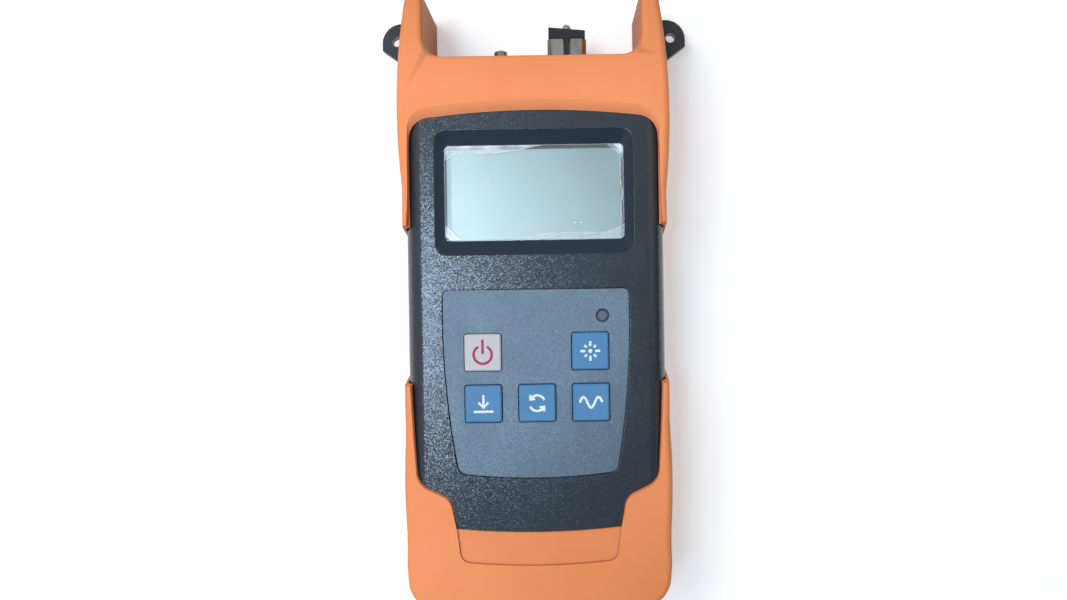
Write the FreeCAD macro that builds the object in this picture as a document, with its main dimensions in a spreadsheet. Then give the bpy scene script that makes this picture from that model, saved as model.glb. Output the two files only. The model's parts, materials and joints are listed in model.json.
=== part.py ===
import FreeCAD, Part
import math
import os
import re
import Sketcher

# A handheld optical power meter with a built-in visual fault locator, lying on
# its back. +Z points out of the screen, +Y towards the two optical ports, +X to
# the right of the keys. The origin is at the middle of the outline, on the back
# of the rubber boot. A dark two-shell casing sits in a one-piece rubber boot
# with two horns that guard the ports. Lengths are in millimetres.

SIZES = [
    # casing
    ("case_width", 73.6, "casing, flank to flank"),
    ("case_top", 67.5, "end wall with the ports, from the middle"),
    ("case_foot", 86.0, "lowest point of the casing, from the middle"),
    ("case_depth", 29.7, "casing, back to front"),
    ("case_wall", 2.0, "wall of both shells"),
    ("case_corner", 6.0, "upper corners of the casing"),
    ("case_foot_corner", 7.0, "lower corners of the casing"),
    ("front_round", 5.2, "rounding of the casing's front edge"),
    ("back_edge", 2.0, "bevel of the casing's back edge"),
    ("rear_shell_depth", 14.9, "rear shell, back to parting line"),
    ("foot_bend", 228.0, "radius of the bowed lower end"),
    # rubber boot
    ("boot_back", 2.0, "back wall of the boot"),
    ("boot_fit", 0.1, "clearance between boot and casing"),
    ("boot_lip", 1.1, "lip of the boot above the casing's face"),
    ("foot_wall", 3.2, "boot beyond the lower end of the casing"),
    ("foot_inset", 0.75, "boot's foot inside the casing's flank line"),
    ("boot_foot_corner", 8.5, "lower corners of the boot"),
    ("boot_rim", 1.7, "rounding of the boot's outer edges"),
    ("waist_wall", 0.7, "side of the boot at the waist"),
    ("flank_bend", 188.0, "radius of the bulging flanks"),
    ("upper_flank_start", 24.0, "where the upper flank starts"),
    ("lower_flank_start", 27.0, "where the lower flank starts"),
    ("end_wall", 2.0, "end wall of the boot between the horns"),
    ("horn_long", 20.3, "horns beyond the end wall"),
    ("horn_lean", 0.2, "horn tips inside the casing's flank line"),
    ("horn_inset", 5.9, "inner faces of the horns inside the casing's flank line"),
    ("horn_root", 5.3, "rounding at the foot of the horns"),
    ("horn_outer_round", 6.0, "outer rounding of a horn tip"),
    ("horn_inner_round", 2.6, "inner rounding of a horn tip"),
    ("waist_high", 22.0, "upper end of the side cut-out"),
    ("waist_low", 24.0, "lower end of the side cut-out"),
    ("waist_floor", 7.5, "side cut-out, height of its floor"),
    ("waist_slope", 6.0, "run of the cut-out's sloping ends"),
    ("waist_round", 4.8, "rounding at the floor of the cut-out"),
    ("waist_blend", 47.0, "blend between waist and flank"),
    # front window of the boot
    ("window_top_rim", 13.6, "window's top, from the casing's end wall"),
    ("lip_top", 2.9, "sloping lip of the window, width along its top"),
    ("lip_side", 0.3, "sloping lip of the window, width along its sides"),
    ("window_inset", 1.8, "window's upper corners inside the casing's flank line"),
    ("window_top_bend", 245.0, "radius of the window's top"),
    ("window_side_bend", 790.0, "radius of the window's sides"),
    ("window_corner", 6.0, "upper corners of the window"),
    ("shoulder_inset", 2.95, "window's shoulders inside the casing's flank line"),
    ("shoulder_up", 34.6, "shoulders, from the casing's lower end"),
    ("shoulder_round", 5.5, "rounding of the shoulder"),
    ("neck_inset", 9.1, "neck inside the shoulders"),
    ("neck_drop", 4.25, "neck below the shoulders"),
    ("neck_round", 5.0, "hollow between shoulder and neck"),
    ("neck_taper", 1.45, "narrowing from the neck to the window's foot"),
    ("window_foot_up", 20.6, "window's foot, from the casing's lower end"),
    ("tongue_long", 9.4, "sunk tongue pad, length"),
    ("tongue_taper", 1.2, "narrowing of the tongue pad"),
    ("tongue_bend", 190.0, "radius of the tongue's lower edge"),
    ("tongue_round", 3.0, "corners of the tongue"),
    ("tongue_sink", 0.8, "tongue pad below the lip"),
    ("tongue_rubber", 1.3, "rubber under the tongue's surface"),
    # strap lugs
    ("lug_lift", 5.9, "strap lugs, from the casing's back"),
    ("lug_thick", 3.0, "strap lug, thickness"),
    ("lug_stand", 9.5, "strap lug beyond the casing's flank line"),
    ("lug_eye_in", 4.5, "eye of the lug, from its outer edge"),
    ("lug_eye_up", 10.3, "eye of the lug beyond the boot's end wall"),
    ("lug_eye", 2.9, "eye of the lug, diameter"),
    ("lug_cover", 2.5, "rubber between the lug's stem and the gap"),
    ("lug_above", 5.5, "lug above its eye"),
    ("lug_below", 2.6, "lug's outer edge below its eye"),
    ("lug_slope", 5.6, "sloping lower edge of the lug, rise"),
    ("lug_neck", 3.2, "inner end of the sloping edge, from the eye"),
    ("lug_heel", 2.2, "lug's heel in the horn, rise"),
    ("lug_round", 6.0, "rounding of the lug's upper corner"),
    # display
    ("display_middle", 30.8, "middle of the display, along"),
    ("bezel_width", 56.6, "sloping bezel, outer width"),
    ("bezel_height", 35.6, "sloping bezel, outer height"),
    ("bezel_sink", 1.3, "sloping bezel, depth"),
    ("bezel_corner", 3.4, "sloping bezel, outer corners"),
    ("bezel_seat", 0.2, "flat ledge between bezel and window"),
    ("view_width", 51.3, "clear window, width"),
    ("view_height", 27.3, "clear window, height"),
    ("view_corner", 1.5, "clear window, corners"),
    ("lens_fit", 0.1, "clearance round the lens"),
    ("lens_flange", 1.6, "flange of the lens behind the window"),
    ("lens_thick", 1.0, "lens flange, thickness"),
    ("film_thick", 0.1, "protective film"),
    ("glass_width", 56.0, "display glass, width"),
    ("glass_height", 32.0, "display glass, height"),
    ("glass_thick", 2.2, "display glass, thickness"),
    ("holder_rim", 1.6, "display holder round the glass"),
    # keypad
    ("pad_top", 3.0, "upper edge of the keypad overlay"),
    ("pad_inset", 8.8, "overlay inside the window's upper corners"),
    ("pad_foot", 50.1, "overlay, lowest point"),
    ("pad_taper", 3.9, "narrowing of the overlay to its foot"),
    ("pad_side_bend", 250.0, "radius of the overlay's sides"),
    ("pad_foot_bend", 166.0, "radius of the overlay's lower edge"),
    ("pad_corner", 1.4, "upper corners of the overlay"),
    ("pad_foot_corner", 2.8, "lower corners of the overlay"),
    ("pad_groove", 0.3, "groove round the overlay"),
    ("pad_sink", 0.8, "recess under the overlay"),
    ("pad_thick", 0.6, "overlay, thickness"),
    ("key_width", 10.3, "key, width"),
    ("key_height", 10.4, "key, height"),
    ("key_corner", 0.6, "key, corners"),
    ("key_edge", 0.35, "bevel of the key's upper edge"),
    ("key_rise", 0.9, "key above the overlay"),
    ("key_gap", 0.3, "clearance round a key"),
    ("key_flange", 1.0, "flange of the key under the casing"),
    ("key_flange_thick", 1.0, "flange of the key, thickness"),
    ("key_inset", 11.0, "outer key columns inside the overlay's upper corners"),
    ("key_row_one", 14.5, "upper key row, from the middle"),
    ("key_row_two", 29.0, "lower key row, from the middle"),
    ("switch_width", 6.0, "tactile switch, width"),
    ("switch_tall", 3.4, "tactile switch, height"),
    ("plunger_round", 1.7, "switch plunger, radius"),
    ("plunger_gap", 0.06, "running fit of the plunger"),
    ("plunger_sunk", 1.0, "plunger inside its switch"),
    ("switch_hole", 2.0, "depth of the plunger's hole"),
    ("light_beside", 3.6, "indicator light beyond the outer key column"),
    ("light_y", 4.5, "indicator light, from the middle"),
    ("light_round", 1.85, "indicator light pipe, radius"),
    ("light_flange", 0.8, "flange of the light pipe, width and thickness"),
    ("led_round", 1.5, "indicator diode, radius"),
    # circuit board
    ("board_lift", 0.9, "main board above the battery bay"),
    ("board_thick", 1.6, "main board, thickness"),
    ("board_inset", 5.6, "main board inside the casing's flank line"),
    ("board_top_gap", 11.5, "main board, from the casing's end wall"),
    ("board_foot_gap", 16.0, "main board, from the casing's lower end"),
    ("board_corner", 2.0, "main board, corners"),
    ("chip_up", 9.0, "chips, from the board's lower end"),
    ("chip_side", 17.0, "outer chips and sounder, from the middle"),
    ("processor_wide", 12.0, "processor, width and length"),
    ("processor_tall", 1.4, "processor, height"),
    ("amplifier_wide", 8.0, "amplifier, width"),
    ("amplifier_long", 5.0, "amplifier, length"),
    ("amplifier_tall", 1.6, "amplifier, height"),
    ("regulator_wide", 6.0, "regulator, width"),
    ("regulator_long", 5.0, "regulator, length"),
    ("regulator_tall", 2.2, "regulator, height"),
    ("sounder_up", 22.0, "sounder, from the board's lower end"),
    ("sounder_round", 4.5, "sounder, radius"),
    ("sounder_tall", 5.0, "sounder, height"),
    ("post_upper_in", 4.2, "upper board screws, from the board's side"),
    ("post_upper_down", 3.7, "upper board screws, from the board's end"),
    ("post_lower_in", 7.2, "lower board screws, from the board's side"),
    ("post_lower_up", 5.0, "lower board screws, from the board's end"),
    ("post_round", 2.6, "board post, radius"),
    ("small_screw", 1.0, "board screw, radius of the shank"),
    ("small_screw_long", 6.0, "board screw, length under the head"),
    ("small_head", 2.0, "board screw, radius of the head"),
    ("small_head_tall", 1.3, "board screw, height of the head"),
    ("screw_gap", 0.1, "clearance round a screw"),
    # casing screws
    ("boss_upper_in", 6.6, "upper casing screws, from the casing's flank"),
    ("boss_upper_down", 6.7, "upper casing screws, from the casing's end wall"),
    ("boss_lower_in", 8.8, "lower casing screws, from the casing's flank"),
    ("boss_lower_up", 9.5, "lower casing screws, from the casing's lower end"),
    ("boss_round", 3.6, "screw boss, radius"),
    ("insert_round", 2.2, "threaded insert, radius"),
    ("insert_long", 5.0, "threaded insert, length"),
    ("case_screw", 1.3, "casing screw, radius of the shank"),
    ("case_screw_long", 14.0, "casing screw, length under the head"),
    ("case_head", 2.4, "casing screw, radius of the head"),
    ("case_head_tall", 1.8, "casing screw, height of the head"),
    ("head_depth", 4.5, "depth of the screw head's hole"),
    ("tip_room", 2.0, "room for a casing screw's tip beyond its insert"),
    ("socket_wide", 1.2, "cross recess, arm length"),
    ("socket_slot", 0.5, "cross recess, arm width"),
    ("socket_deep", 0.8, "cross recess, depth"),
    # battery bay
    ("bay_middle", -24.0, "middle of the battery bay, along"),
    ("cell_round", 7.1, "battery cell, radius"),
    ("cell_long", 49.2, "battery cell, length of the can"),
    ("cell_nub", 1.2, "battery cell, height of the nub"),
    ("cell_nub_round", 2.7, "battery cell, radius of the nub"),
    ("cell_gap", 0.3, "clearance round a cell"),
    ("spring_long", 3.6, "battery spring, working length"),
    ("spring_round", 3.4, "battery spring, radius of its wide end"),
    ("spring_nose", 2.0, "battery spring, radius of its narrow end"),
    ("spring_wire", 0.4, "battery spring, wire"),
    ("plate_thick", 0.4, "contact plate, thickness"),
    ("bay_wall", 1.5, "wall of the bay"),
    ("ledge", 2.6, "ledge that the door rests on"),
    ("door_thick", 1.8, "battery door, thickness"),
    ("door_gap", 0.35, "clearance round the door"),
    ("door_corner", 3.0, "corners of the door"),
    ("grip_long", 12.0, "finger ribs of the door, width"),
    ("grip_rib", 0.8, "finger rib of the door, width"),
    ("grip_deep", 0.5, "grooves between the finger ribs"),
    ("back_window_margin", 4.0, "back window of the boot round the door"),
    # ports
    ("port_sunk", 1.0, "port axes behind the parting line"),
    ("power_port_x", 10.0, "power meter port, across"),
    ("fault_port_x", 9.8, "fault locator port, from the middle"),
    ("port_window_half", 21.0, "opening in the boot's end, half width"),
    ("port_window_tall", 17.0, "opening in the boot's end, height"),
    ("adapter_width", 11.4, "port adapter, width"),
    ("adapter_long", 9.4, "port adapter beyond the casing's end wall"),
    ("adapter_edge", 1.2, "bevel of the adapter's edges"),
    ("adapter_slot", 2.0, "key slot of the adapter, width"),
    ("adapter_slot_deep", 2.6, "key slot of the adapter, depth"),
    ("adapter_spigot", 4.4, "adapter spigot through the wall, radius"),
    ("spigot_inside", 4.0, "spigot behind the wall"),
    ("ferrule_bore", 1.25, "bore for a 2.5 mm ferrule, radius"),
    ("cap_width", 10.8, "dust cap, width"),
    ("cap_tall", 3.2, "dust cap, height on its high side"),
    ("cap_low_side", 2.2, "dust cap, height on its low side"),
    ("cap_lift", 0.3, "dust cap above the adapter"),
    ("cap_rib", 1.4, "rib of the cap in the key slot, width"),
    ("cap_rib_long", 5.5, "rib of the cap, length"),
    ("cap_plug_long", 5.0, "plug of the cap, length"),
    ("plug_gap", 0.06, "fit of the plug in the bore"),
    ("stud_round", 1.35, "metal stud of the cap, radius"),
    ("stud_seat", 1.0, "cap under the end of the stud's shank"),
    ("stud_lift", 0.44, "metal stud's head above the middle of the cap's roof"),
    ("stud_tall", 0.8, "metal stud, height of its head"),
    ("stud_edge", 0.7, "metal stud, rounding of its head"),
    ("stud_shank", 0.7, "metal stud, radius of its shank"),
    ("nozzle_round", 2.0, "fault locator nozzle, radius"),
    ("nozzle_long", 7.4, "fault locator nozzle beyond the casing's end wall"),
    ("nozzle_edge", 0.55, "rounding of the nozzle's end"),
    ("nozzle_flange", 3.6, "flange of the nozzle, radius"),
    ("flange_thick", 1.2, "flange of the nozzle, thickness"),
    ("laser_round", 4.0, "laser module, radius"),
    ("laser_long", 18.0, "laser module, length"),
    ("sensor_round", 4.4, "photodiode can, radius"),
    ("sensor_long", 4.0, "photodiode can, length"),
    ("sensor_board", 12.0, "photodiode board, width"),
    ("sensor_board_thick", 1.2, "photodiode board, thickness"),
    ("sensor_board_gap", 0.1, "photodiode board behind the main board's back"),
]

doc = FreeCAD.newDocument("optical_power_meter")
sheet = doc.addObject("Spreadsheet::Sheet", "Sizes")
for row, (alias, number, note) in enumerate(SIZES, start=1):
    sheet.set(f"A{row}", alias)
    sheet.set(f"B{row}", str(number))
    sheet.set(f"C{row}", note)
    sheet.setAlias(f"B{row}", alias)
doc.recompute()

# Heights and places that follow from the sizes.
FOLLOWS = {
    "overshoot": "1",
    "overlap": "0.5",
    "half_width": "case_width / 2",
    "case_back": "boot_back + boot_fit",
    "case_front": "case_back + case_depth",
    "parting": "case_back + rear_shell_depth",
    "inner_front": "case_front - case_wall",
    "inner_back": "case_back + case_wall",
    "boot_front": "case_front + boot_lip",
    "tongue_face": "boot_front - tongue_sink",
    "step_face": "tongue_face - tongue_rubber",
    "bezel_floor": "case_front - bezel_sink",
    "pad_floor": "case_front - pad_sink",
    "pad_face": "pad_floor + pad_thick",
    "key_face": "pad_face + key_rise",
    "flange_face": "inner_front - key_gap",
    "key_foot": "flange_face - key_flange_thick",
    "board_face": "board_low + board_thick",
    "switch_face": "board_face + switch_tall",
    "cell_height": "case_back + door_thick + cell_gap + cell_round",
    "bay_ceiling": "cell_height + cell_round + cell_gap",
    "bay_half_width": "3 * cell_round + 2 * cell_gap",
    "cell_pitch": "2 * cell_round + cell_gap",
    "bay_half_length": "(cell_long + cell_nub + spring_long) / 2 + plate_thick",
    "door_half_width": "bay_half_width + ledge",
    "door_half_length": "bay_half_length + ledge",
    "door_top": "bay_middle + door_half_length",
    "door_foot": "bay_middle - door_half_length",
    "board_low": "bay_ceiling + bay_wall + board_lift",
    "boot_waist": "half_width + boot_fit + waist_wall",
    "boot_foot": "case_foot + foot_wall",
    "boot_foot_half": "half_width - foot_inset",
    "boot_end": "case_top + end_wall",
    "horn_tip": "boot_end + horn_long",
    "horn_tip_half": "half_width - horn_lean",
    "horn_half": "half_width - horn_inset",
    "window_top": "case_top - window_top_rim",
    "window_half": "half_width - window_inset",
    "shoulder_half": "half_width - shoulder_inset",
    "shoulder_low": "case_foot - shoulder_up",
    "neck_half": "shoulder_half - neck_inset",
    "neck_low": "shoulder_low + neck_drop",
    "neck_foot_half": "neck_half - neck_taper",
    "window_foot": "case_foot - window_foot_up",
    "tongue_foot": "window_foot + tongue_long",
    "tongue_foot_half": "neck_foot_half - tongue_taper",
    "lug_low": "case_back + lug_lift",
    "lug_reach": "half_width + lug_stand",
    "lug_eye_x": "lug_reach - lug_eye_in",
    "lug_eye_y": "boot_end + lug_eye_up",
    "lug_inner": "horn_half + lug_cover",
    "lug_crown": "lug_eye_y + lug_above",
    "pad_half": "window_half - pad_inset",
    "pad_foot_half": "pad_half - pad_taper",
    "key_pitch_x": "pad_half - key_inset",
    "light_x": "key_pitch_x + light_beside",
    "board_half": "half_width - board_inset",
    "board_top": "case_top - board_top_gap",
    "board_foot": "case_foot - board_foot_gap",
    "post_upper_x": "board_half - post_upper_in",
    "post_upper_y": "board_top - post_upper_down",
    "post_lower_x": "board_half - post_lower_in",
    "post_lower_y": "board_foot - post_lower_up",
    "boss_upper_x": "half_width - boss_upper_in",
    "boss_upper_y": "case_top - boss_upper_down",
    "boss_lower_x": "half_width - boss_lower_in",
    "boss_lower_y": "case_foot - boss_lower_up",
    "port_middle": "parting - port_sunk",
    "adapter_end": "case_top + adapter_long",
    "nozzle_end": "case_top + nozzle_long",
    "cap_foot": "adapter_end + cap_lift",
}
KEYS = [
    ("power_key", "-key_pitch_x", "-key_row_one"),
    ("laser_key", "key_pitch_x", "-key_row_one"),
    ("reference_key", "-key_pitch_x", "-key_row_two"),
    ("unit_key", "0", "-key_row_two"),
    ("wavelength_key", "key_pitch_x", "-key_row_two"),
]
CASE_SCREWS = [
    ("boss_upper_x", "boss_upper_y"),
    ("-boss_upper_x", "boss_upper_y"),
    ("boss_lower_x", "-boss_lower_y"),
    ("-boss_lower_x", "-boss_lower_y"),
]
BOARD_SCREWS = [
    ("post_upper_x", "post_upper_y"),
    ("-post_upper_x", "post_upper_y"),
    ("post_lower_x", "-post_lower_y"),
    ("-post_lower_x", "-post_lower_y"),
]
CHIPS = [
    ("processor", "0", "processor_wide", "processor_wide", "processor_tall"),
    ("amplifier", "-chip_side", "amplifier_wide", "amplifier_long", "amplifier_tall"),
    ("regulator", "chip_side", "regulator_wide", "regulator_long", "regulator_tall"),
]
GRIP_RIBS = 5
TOUCH = 0.001  # edges closer than this to a level or a row lie on it
parts = []


# Formulas, sketches and features.

def bound(formula):
    """The formula with each name spelt out down to the sheet's cells."""
    def spell(match):
        name = match.group()
        return f"({bound(FOLLOWS[name])})" if name in FOLLOWS else "Sizes." + name
    return re.sub(r"[a-z]\w*\b(?!\()", spell, formula)


def value(formula):
    """What the formula gives with the sheet's sizes."""
    return float(sheet.evalExpression(bound(formula)))


def bind(item, path, formula):
    item.setExpression(path, bound(formula))


def keep(item, name):
    """Name a finished sub-part and put it on the list to write."""
    item.Label = name
    parts.append(item)
    return item


def new_body(name):
    body = doc.addObject("PartDesign::Body", name)
    body.Label = name
    return body


def new_sketch(body, role, lift):
    """A sketch on one of the body's origin planes, lifted along its normal."""
    sketch = body.newObject("Sketcher::SketchObject", "Outline")
    plane = [item for item in body.Origin.OriginFeatures if item.Role == role][0]
    sketch.AttachmentSupport = [(plane, "")]
    sketch.MapMode = "FlatFace"
    bind(sketch, ".AttachmentOffset.Base.z", lift)
    return sketch


def arc_between(start, end, radius, side):
    """The short arc from start to end, with its centre left (1) or right (-1) of the way."""
    chord = end - start
    across = FreeCAD.Vector(-chord.y, chord.x, 0).normalize()
    rise = math.sqrt(radius ** 2 - (chord.Length / 2) ** 2)
    centre = (start + end) / 2 + across * rise * side
    first, last = (start, end) if side > 0 else (end, start)
    angles = [math.atan2(point.y - centre.y, point.x - centre.x) for point in (first, last)]
    return Part.ArcOfCircle(Part.Circle(centre, FreeCAD.Vector(0, 0, 1), radius), *angles)


def draw(sketch, corners):
    """Draw a closed outline. A corner is (x, y), or (x, y, radius, side) with an arc to it."""
    points = [FreeCAD.Vector(value(corner[0]), value(corner[1]), 0) for corner in corners]
    ends = []
    for index, corner in enumerate(corners):
        start = points[index - 1]
        if len(corner) == 2:
            edge = sketch.addGeometry(Part.LineSegment(start, points[index]))
            ends.append((edge, 1, 2))
            continue
        arc = arc_between(start, points[index], value(corner[2]), corner[3])
        edge = sketch.addGeometry(arc)
        ends.append((edge, 1, 2) if corner[3] > 0 else (edge, 2, 1))
        rule = sketch.addConstraint(Sketcher.Constraint("Radius", edge, value(corner[2])))
        bind(sketch, f"Constraints[{rule}]", corner[2])
    for index, corner in enumerate(corners):
        edge, _, last = ends[index]
        after, first, _ = ends[(index + 1) % len(ends)]
        sketch.addConstraint(Sketcher.Constraint("Coincident", edge, last, after, first))
        place_point(sketch, edge, last, points[index], corner)


def place_point(sketch, edge, point, spot, corner):
    """Tie one point of a sketch to its formulas, measured from the origin."""
    across = Sketcher.Constraint("DistanceX", -1, 1, edge, point, spot.x)
    bind(sketch, f"Constraints[{sketch.addConstraint(across)}]", corner[0])
    along = Sketcher.Constraint("DistanceY", -1, 1, edge, point, spot.y)
    bind(sketch, f"Constraints[{sketch.addConstraint(along)}]", corner[1])


def rectangle(left, right, low, high):
    return [(right, low), (right, high), (left, high), (left, low)]


def centred(width, height, middle_y="0"):
    """A rectangle about the middle line."""
    half_width = f"(({width}) / 2)"
    half_height = f"(({height}) / 2)"
    low = f"({middle_y} - {half_height})"
    high = f"({middle_y} + {half_height})"
    return rectangle(f"-{half_width}", half_width, low, high)


def pad(body, role, low, high, corners):
    """Add the outline as solid from low to high along the plane's normal."""
    sketch = new_sketch(body, role, low)
    draw(sketch, corners)
    feature = body.newObject("PartDesign::Pad", "Pad")
    feature.Profile = sketch
    bind(feature, "Length", f"({high}) - ({low})")
    doc.recompute()
    return feature


def pocket(body, role, low, high, corners):
    """Cut the outline out of the body from low to high along the plane's normal."""
    before = body.Tip.Shape.Volume
    sketch = new_sketch(body, role, high)
    draw(sketch, corners)
    feature = body.newObject("PartDesign::Pocket", "Pocket")
    feature.Profile = sketch
    bind(feature, "Length", f"({high}) - ({low})")
    doc.recompute()
    if feature.Shape.Volume >= before:
        raise RuntimeError(f"{body.Label}: {feature.Name} cuts nothing")
    return feature


def soften(body, kind, size, test):
    """Fillet or chamfer the edges of the body's last feature that pass the test."""
    base = body.Tip
    names = [f"Edge{number}" for number, edge in enumerate(base.Shape.Edges, start=1) if test(edge)]
    if not names:
        raise RuntimeError(f"{body.Label}: no edge to soften")
    feature = body.newObject("PartDesign::" + kind, kind)
    feature.Base = (base, names)
    bind(feature, "Radius" if kind == "Fillet" else "Size", size)
    doc.recompute()
    return feature


def upright(edge):
    box = edge.BoundBox
    return box.XLength < TOUCH and box.YLength < TOUCH


def lengthwise(edge):
    box = edge.BoundBox
    return box.XLength < TOUCH and box.ZLength < TOUCH


def level_at(height):
    """A test for edges and faces that lie flat at one height."""
    level = value(height)
    return lambda edge: max(abs(edge.BoundBox.ZMin - level), abs(edge.BoundBox.ZMax - level)) < TOUCH


def prism(name, corners, low, high, role="XY_Plane"):
    body = new_body(name)
    pad(body, role, low, high, corners)
    return body


def block(name, left, right, front, rear, low, high):
    """A box between six planes."""
    item = doc.addObject("Part::Box", name)
    bind(item, "Length", f"({right}) - ({left})")
    bind(item, "Width", f"({rear}) - ({front})")
    bind(item, "Height", f"({high}) - ({low})")
    bind(item, ".Placement.Base.x", left)
    bind(item, ".Placement.Base.y", front)
    bind(item, ".Placement.Base.z", low)
    return item


def rod(name, x, y, low, high, radius):
    """An upright cylinder."""
    item = doc.addObject("Part::Cylinder", name)
    bind(item, "Radius", radius)
    bind(item, "Height", f"({high}) - ({low})")
    bind(item, ".Placement.Base.x", x)
    bind(item, ".Placement.Base.y", y)
    bind(item, ".Placement.Base.z", low)
    return item


def lying_rod(name, x, rear, front, height, radius, tip_radius=None):
    """A cylinder, or a cone, along +Y."""
    item = doc.addObject("Part::Cone" if tip_radius else "Part::Cylinder", name)
    if tip_radius:
        bind(item, "Radius1", radius)
        bind(item, "Radius2", tip_radius)
    else:
        bind(item, "Radius", radius)
    bind(item, "Height", f"({front}) - ({rear})")
    item.Placement = FreeCAD.Placement(FreeCAD.Vector(), FreeCAD.Rotation(FreeCAD.Vector(1, 0, 0), -90))
    bind(item, ".Placement.Base.x", x)
    bind(item, ".Placement.Base.y", rear)
    bind(item, ".Placement.Base.z", height)
    return item


def fuse(name, items):
    item = doc.addObject("Part::MultiFuse", name)
    item.Shapes = items
    item.Refine = True
    return item


def group(name, items):
    """Separate solids that share one node."""
    item = doc.addObject("Part::Compound", name)
    item.Links = items
    return item


def cut(name, base, tools):
    item = doc.addObject("Part::Cut", name)
    item.Base = base
    item.Tool = tools[0] if len(tools) == 1 else fuse(name + "_tools", tools)
    item.Refine = True
    return item


def body_on(name, base):
    """A body that goes on from a finished solid."""
    doc.recompute()
    body = new_body(name)
    body.BaseFeature = base
    doc.recompute()
    return body


# Outlines that more than one piece shares.

def bowed_foot(foot, half, bend):
    """Height at the ends of an arc that bows down to foot at the middle."""
    return f"(-({foot}) + ({bend}) - sqrt(({bend})^2 - ({half})^2))"


def casing_outline(grow):
    half = f"(case_width / 2 + {grow})"
    top = f"(case_top + {grow})"
    bend = f"(foot_bend + {grow})"
    ends = bowed_foot(f"case_foot + {grow}", half, bend)
    return [(f"-{half}", ends), (half, ends, bend, 1), (half, top), (f"-{half}", top)]


def casing_form(name, grow, low, high):
    """The casing's outer form between two heights, with its four corners rounded."""
    body = prism(name, casing_outline(grow), low, high)
    soften(body, "Fillet", f"case_corner + {grow}", lambda e: upright(e) and e.BoundBox.YMin > 0)
    soften(body, "Fillet", f"case_foot_corner + {grow}", lambda e: upright(e) and e.BoundBox.YMin < 0)
    return body


def foot_step(name, grow):
    """The lower end of the casing's front, sunk to carry the boot's tongue."""
    half = "case_width"
    line = bowed_foot(f"window_foot + {grow}", half, "foot_bend")
    floor = "(-case_foot - case_wall)"
    outline = [(half, floor), (half, line), (f"-{half}", line, "foot_bend", -1), (f"-{half}", floor)]
    return prism(name, outline, f"step_face + {grow}", "boot_front + boot_lip")


def window_outline(top="0", side="0"):
    """The front window of the boot, wider by the given amounts at its top and sides."""
    crest = f"(window_top + {top})"
    half = f"(window_half + {side})"
    top_ends = f"({crest} - window_top_bend + sqrt(window_top_bend^2 - {half}^2))"
    foot_ends = bowed_foot("window_foot", "neck_foot_half", "foot_bend")
    shoulder = f"(shoulder_half + {side})"
    shoulder_y = f"(-shoulder_low - {side})"
    neck = f"(neck_half + {side})"
    neck_y = f"(-neck_low - {side})"
    right = [
        ("neck_foot_half", foot_ends, "foot_bend", 1),
        (neck, neck_y),
        (shoulder, shoulder_y),
        (half, top_ends, "window_side_bend", 1),
    ]
    left = [
        (f"-{half}", top_ends, "window_top_bend", 1),
        (f"-{shoulder}", shoulder_y, "window_side_bend", 1),
        (f"-{neck}", neck_y),
        ("-neck_foot_half", foot_ends),
    ]
    return right + left


def near_row(formula):
    """A test for upright edges at one distance along Y."""
    row_y = value(formula)
    return lambda edge: upright(edge) and abs(edge.BoundBox.YMin - row_y) < TOUCH


def lug_outline(grow):
    """The right strap lug: a stem up inside the horn and a D-shaped ear beside it."""
    stem = f"(half_width - case_corner - {grow})"
    root = "(case_top - case_wall - case_corner)"
    flank = "(half_width - case_wall / 2)"
    slope_start = f"(lug_eye_y - lug_below - lug_slope - {grow})"
    reach = f"(lug_reach + {grow})"
    crown = f"(lug_crown + {grow})"
    return [
        (stem, root),
        (flank, root),
        (flank, f"({slope_start} - lug_heel)"),
        ("(lug_eye_x - lug_neck)", slope_start),
        (reach, f"(lug_eye_y - lug_below - {grow})"),
        (reach, "(lug_crown - lug_round)"),
        (f"({reach} - lug_round)", crown, "lug_round", 1),
        (f"(lug_inner - {grow})", crown),
        (f"(lug_inner - {grow})", "(case_top + overshoot)"),
        (stem, "(case_top - overshoot)"),
    ]


def overlay_outline(grow):
    """The keypad overlay: straight top, bowed sides and a bowed lower edge."""
    top_half = f"(pad_half + {grow})"
    foot_half = f"(pad_foot_half + {grow})"
    top = f"(pad_top + {grow})"
    foot_ends = bowed_foot(f"pad_foot + {grow}", "pad_foot_half", "pad_foot_bend")
    return [
        (foot_half, foot_ends, "pad_foot_bend", 1),
        (top_half, top, "pad_side_bend", 1),
        (f"-{top_half}", top),
        (f"-{foot_half}", foot_ends, "pad_side_bend", 1),
    ]


def overlay_form(name, grow, low, high):
    body = prism(name, overlay_outline(grow), low, high)
    soften(body, "Fillet", f"pad_corner + {grow}", lambda e: upright(e) and e.BoundBox.YMin > 0)
    soften(body, "Fillet", f"pad_foot_corner + {grow}", lambda e: upright(e) and e.BoundBox.YMin < 0)
    return body


def key_outline(x, y, grow):
    half_width = f"(key_width / 2 + {grow})"
    half_height = f"(key_height / 2 + {grow})"
    return rectangle(f"({x} - {half_width})", f"({x} + {half_width})",
                     f"({y} - {half_height})", f"({y} + {half_height})")


def key_hole(name, x, y):
    """The opening that a key slides in, through the casing and the overlay."""
    body = prism(name, key_outline(x, y, "key_gap"), "inner_front - overshoot", "pad_face + overshoot")
    soften(body, "Fillet", "key_corner + key_gap", upright)
    return body


# Casing.

def build_lugs(name, grow):
    right = prism(name + "_right", lug_outline(grow), f"lug_low - {grow}", f"lug_low + lug_thick + {grow}")
    left = doc.addObject("Part::Mirroring", name + "_left")
    left.Source = right
    left.Normal = FreeCAD.Vector(1, 0, 0)
    return [right, left]


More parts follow.
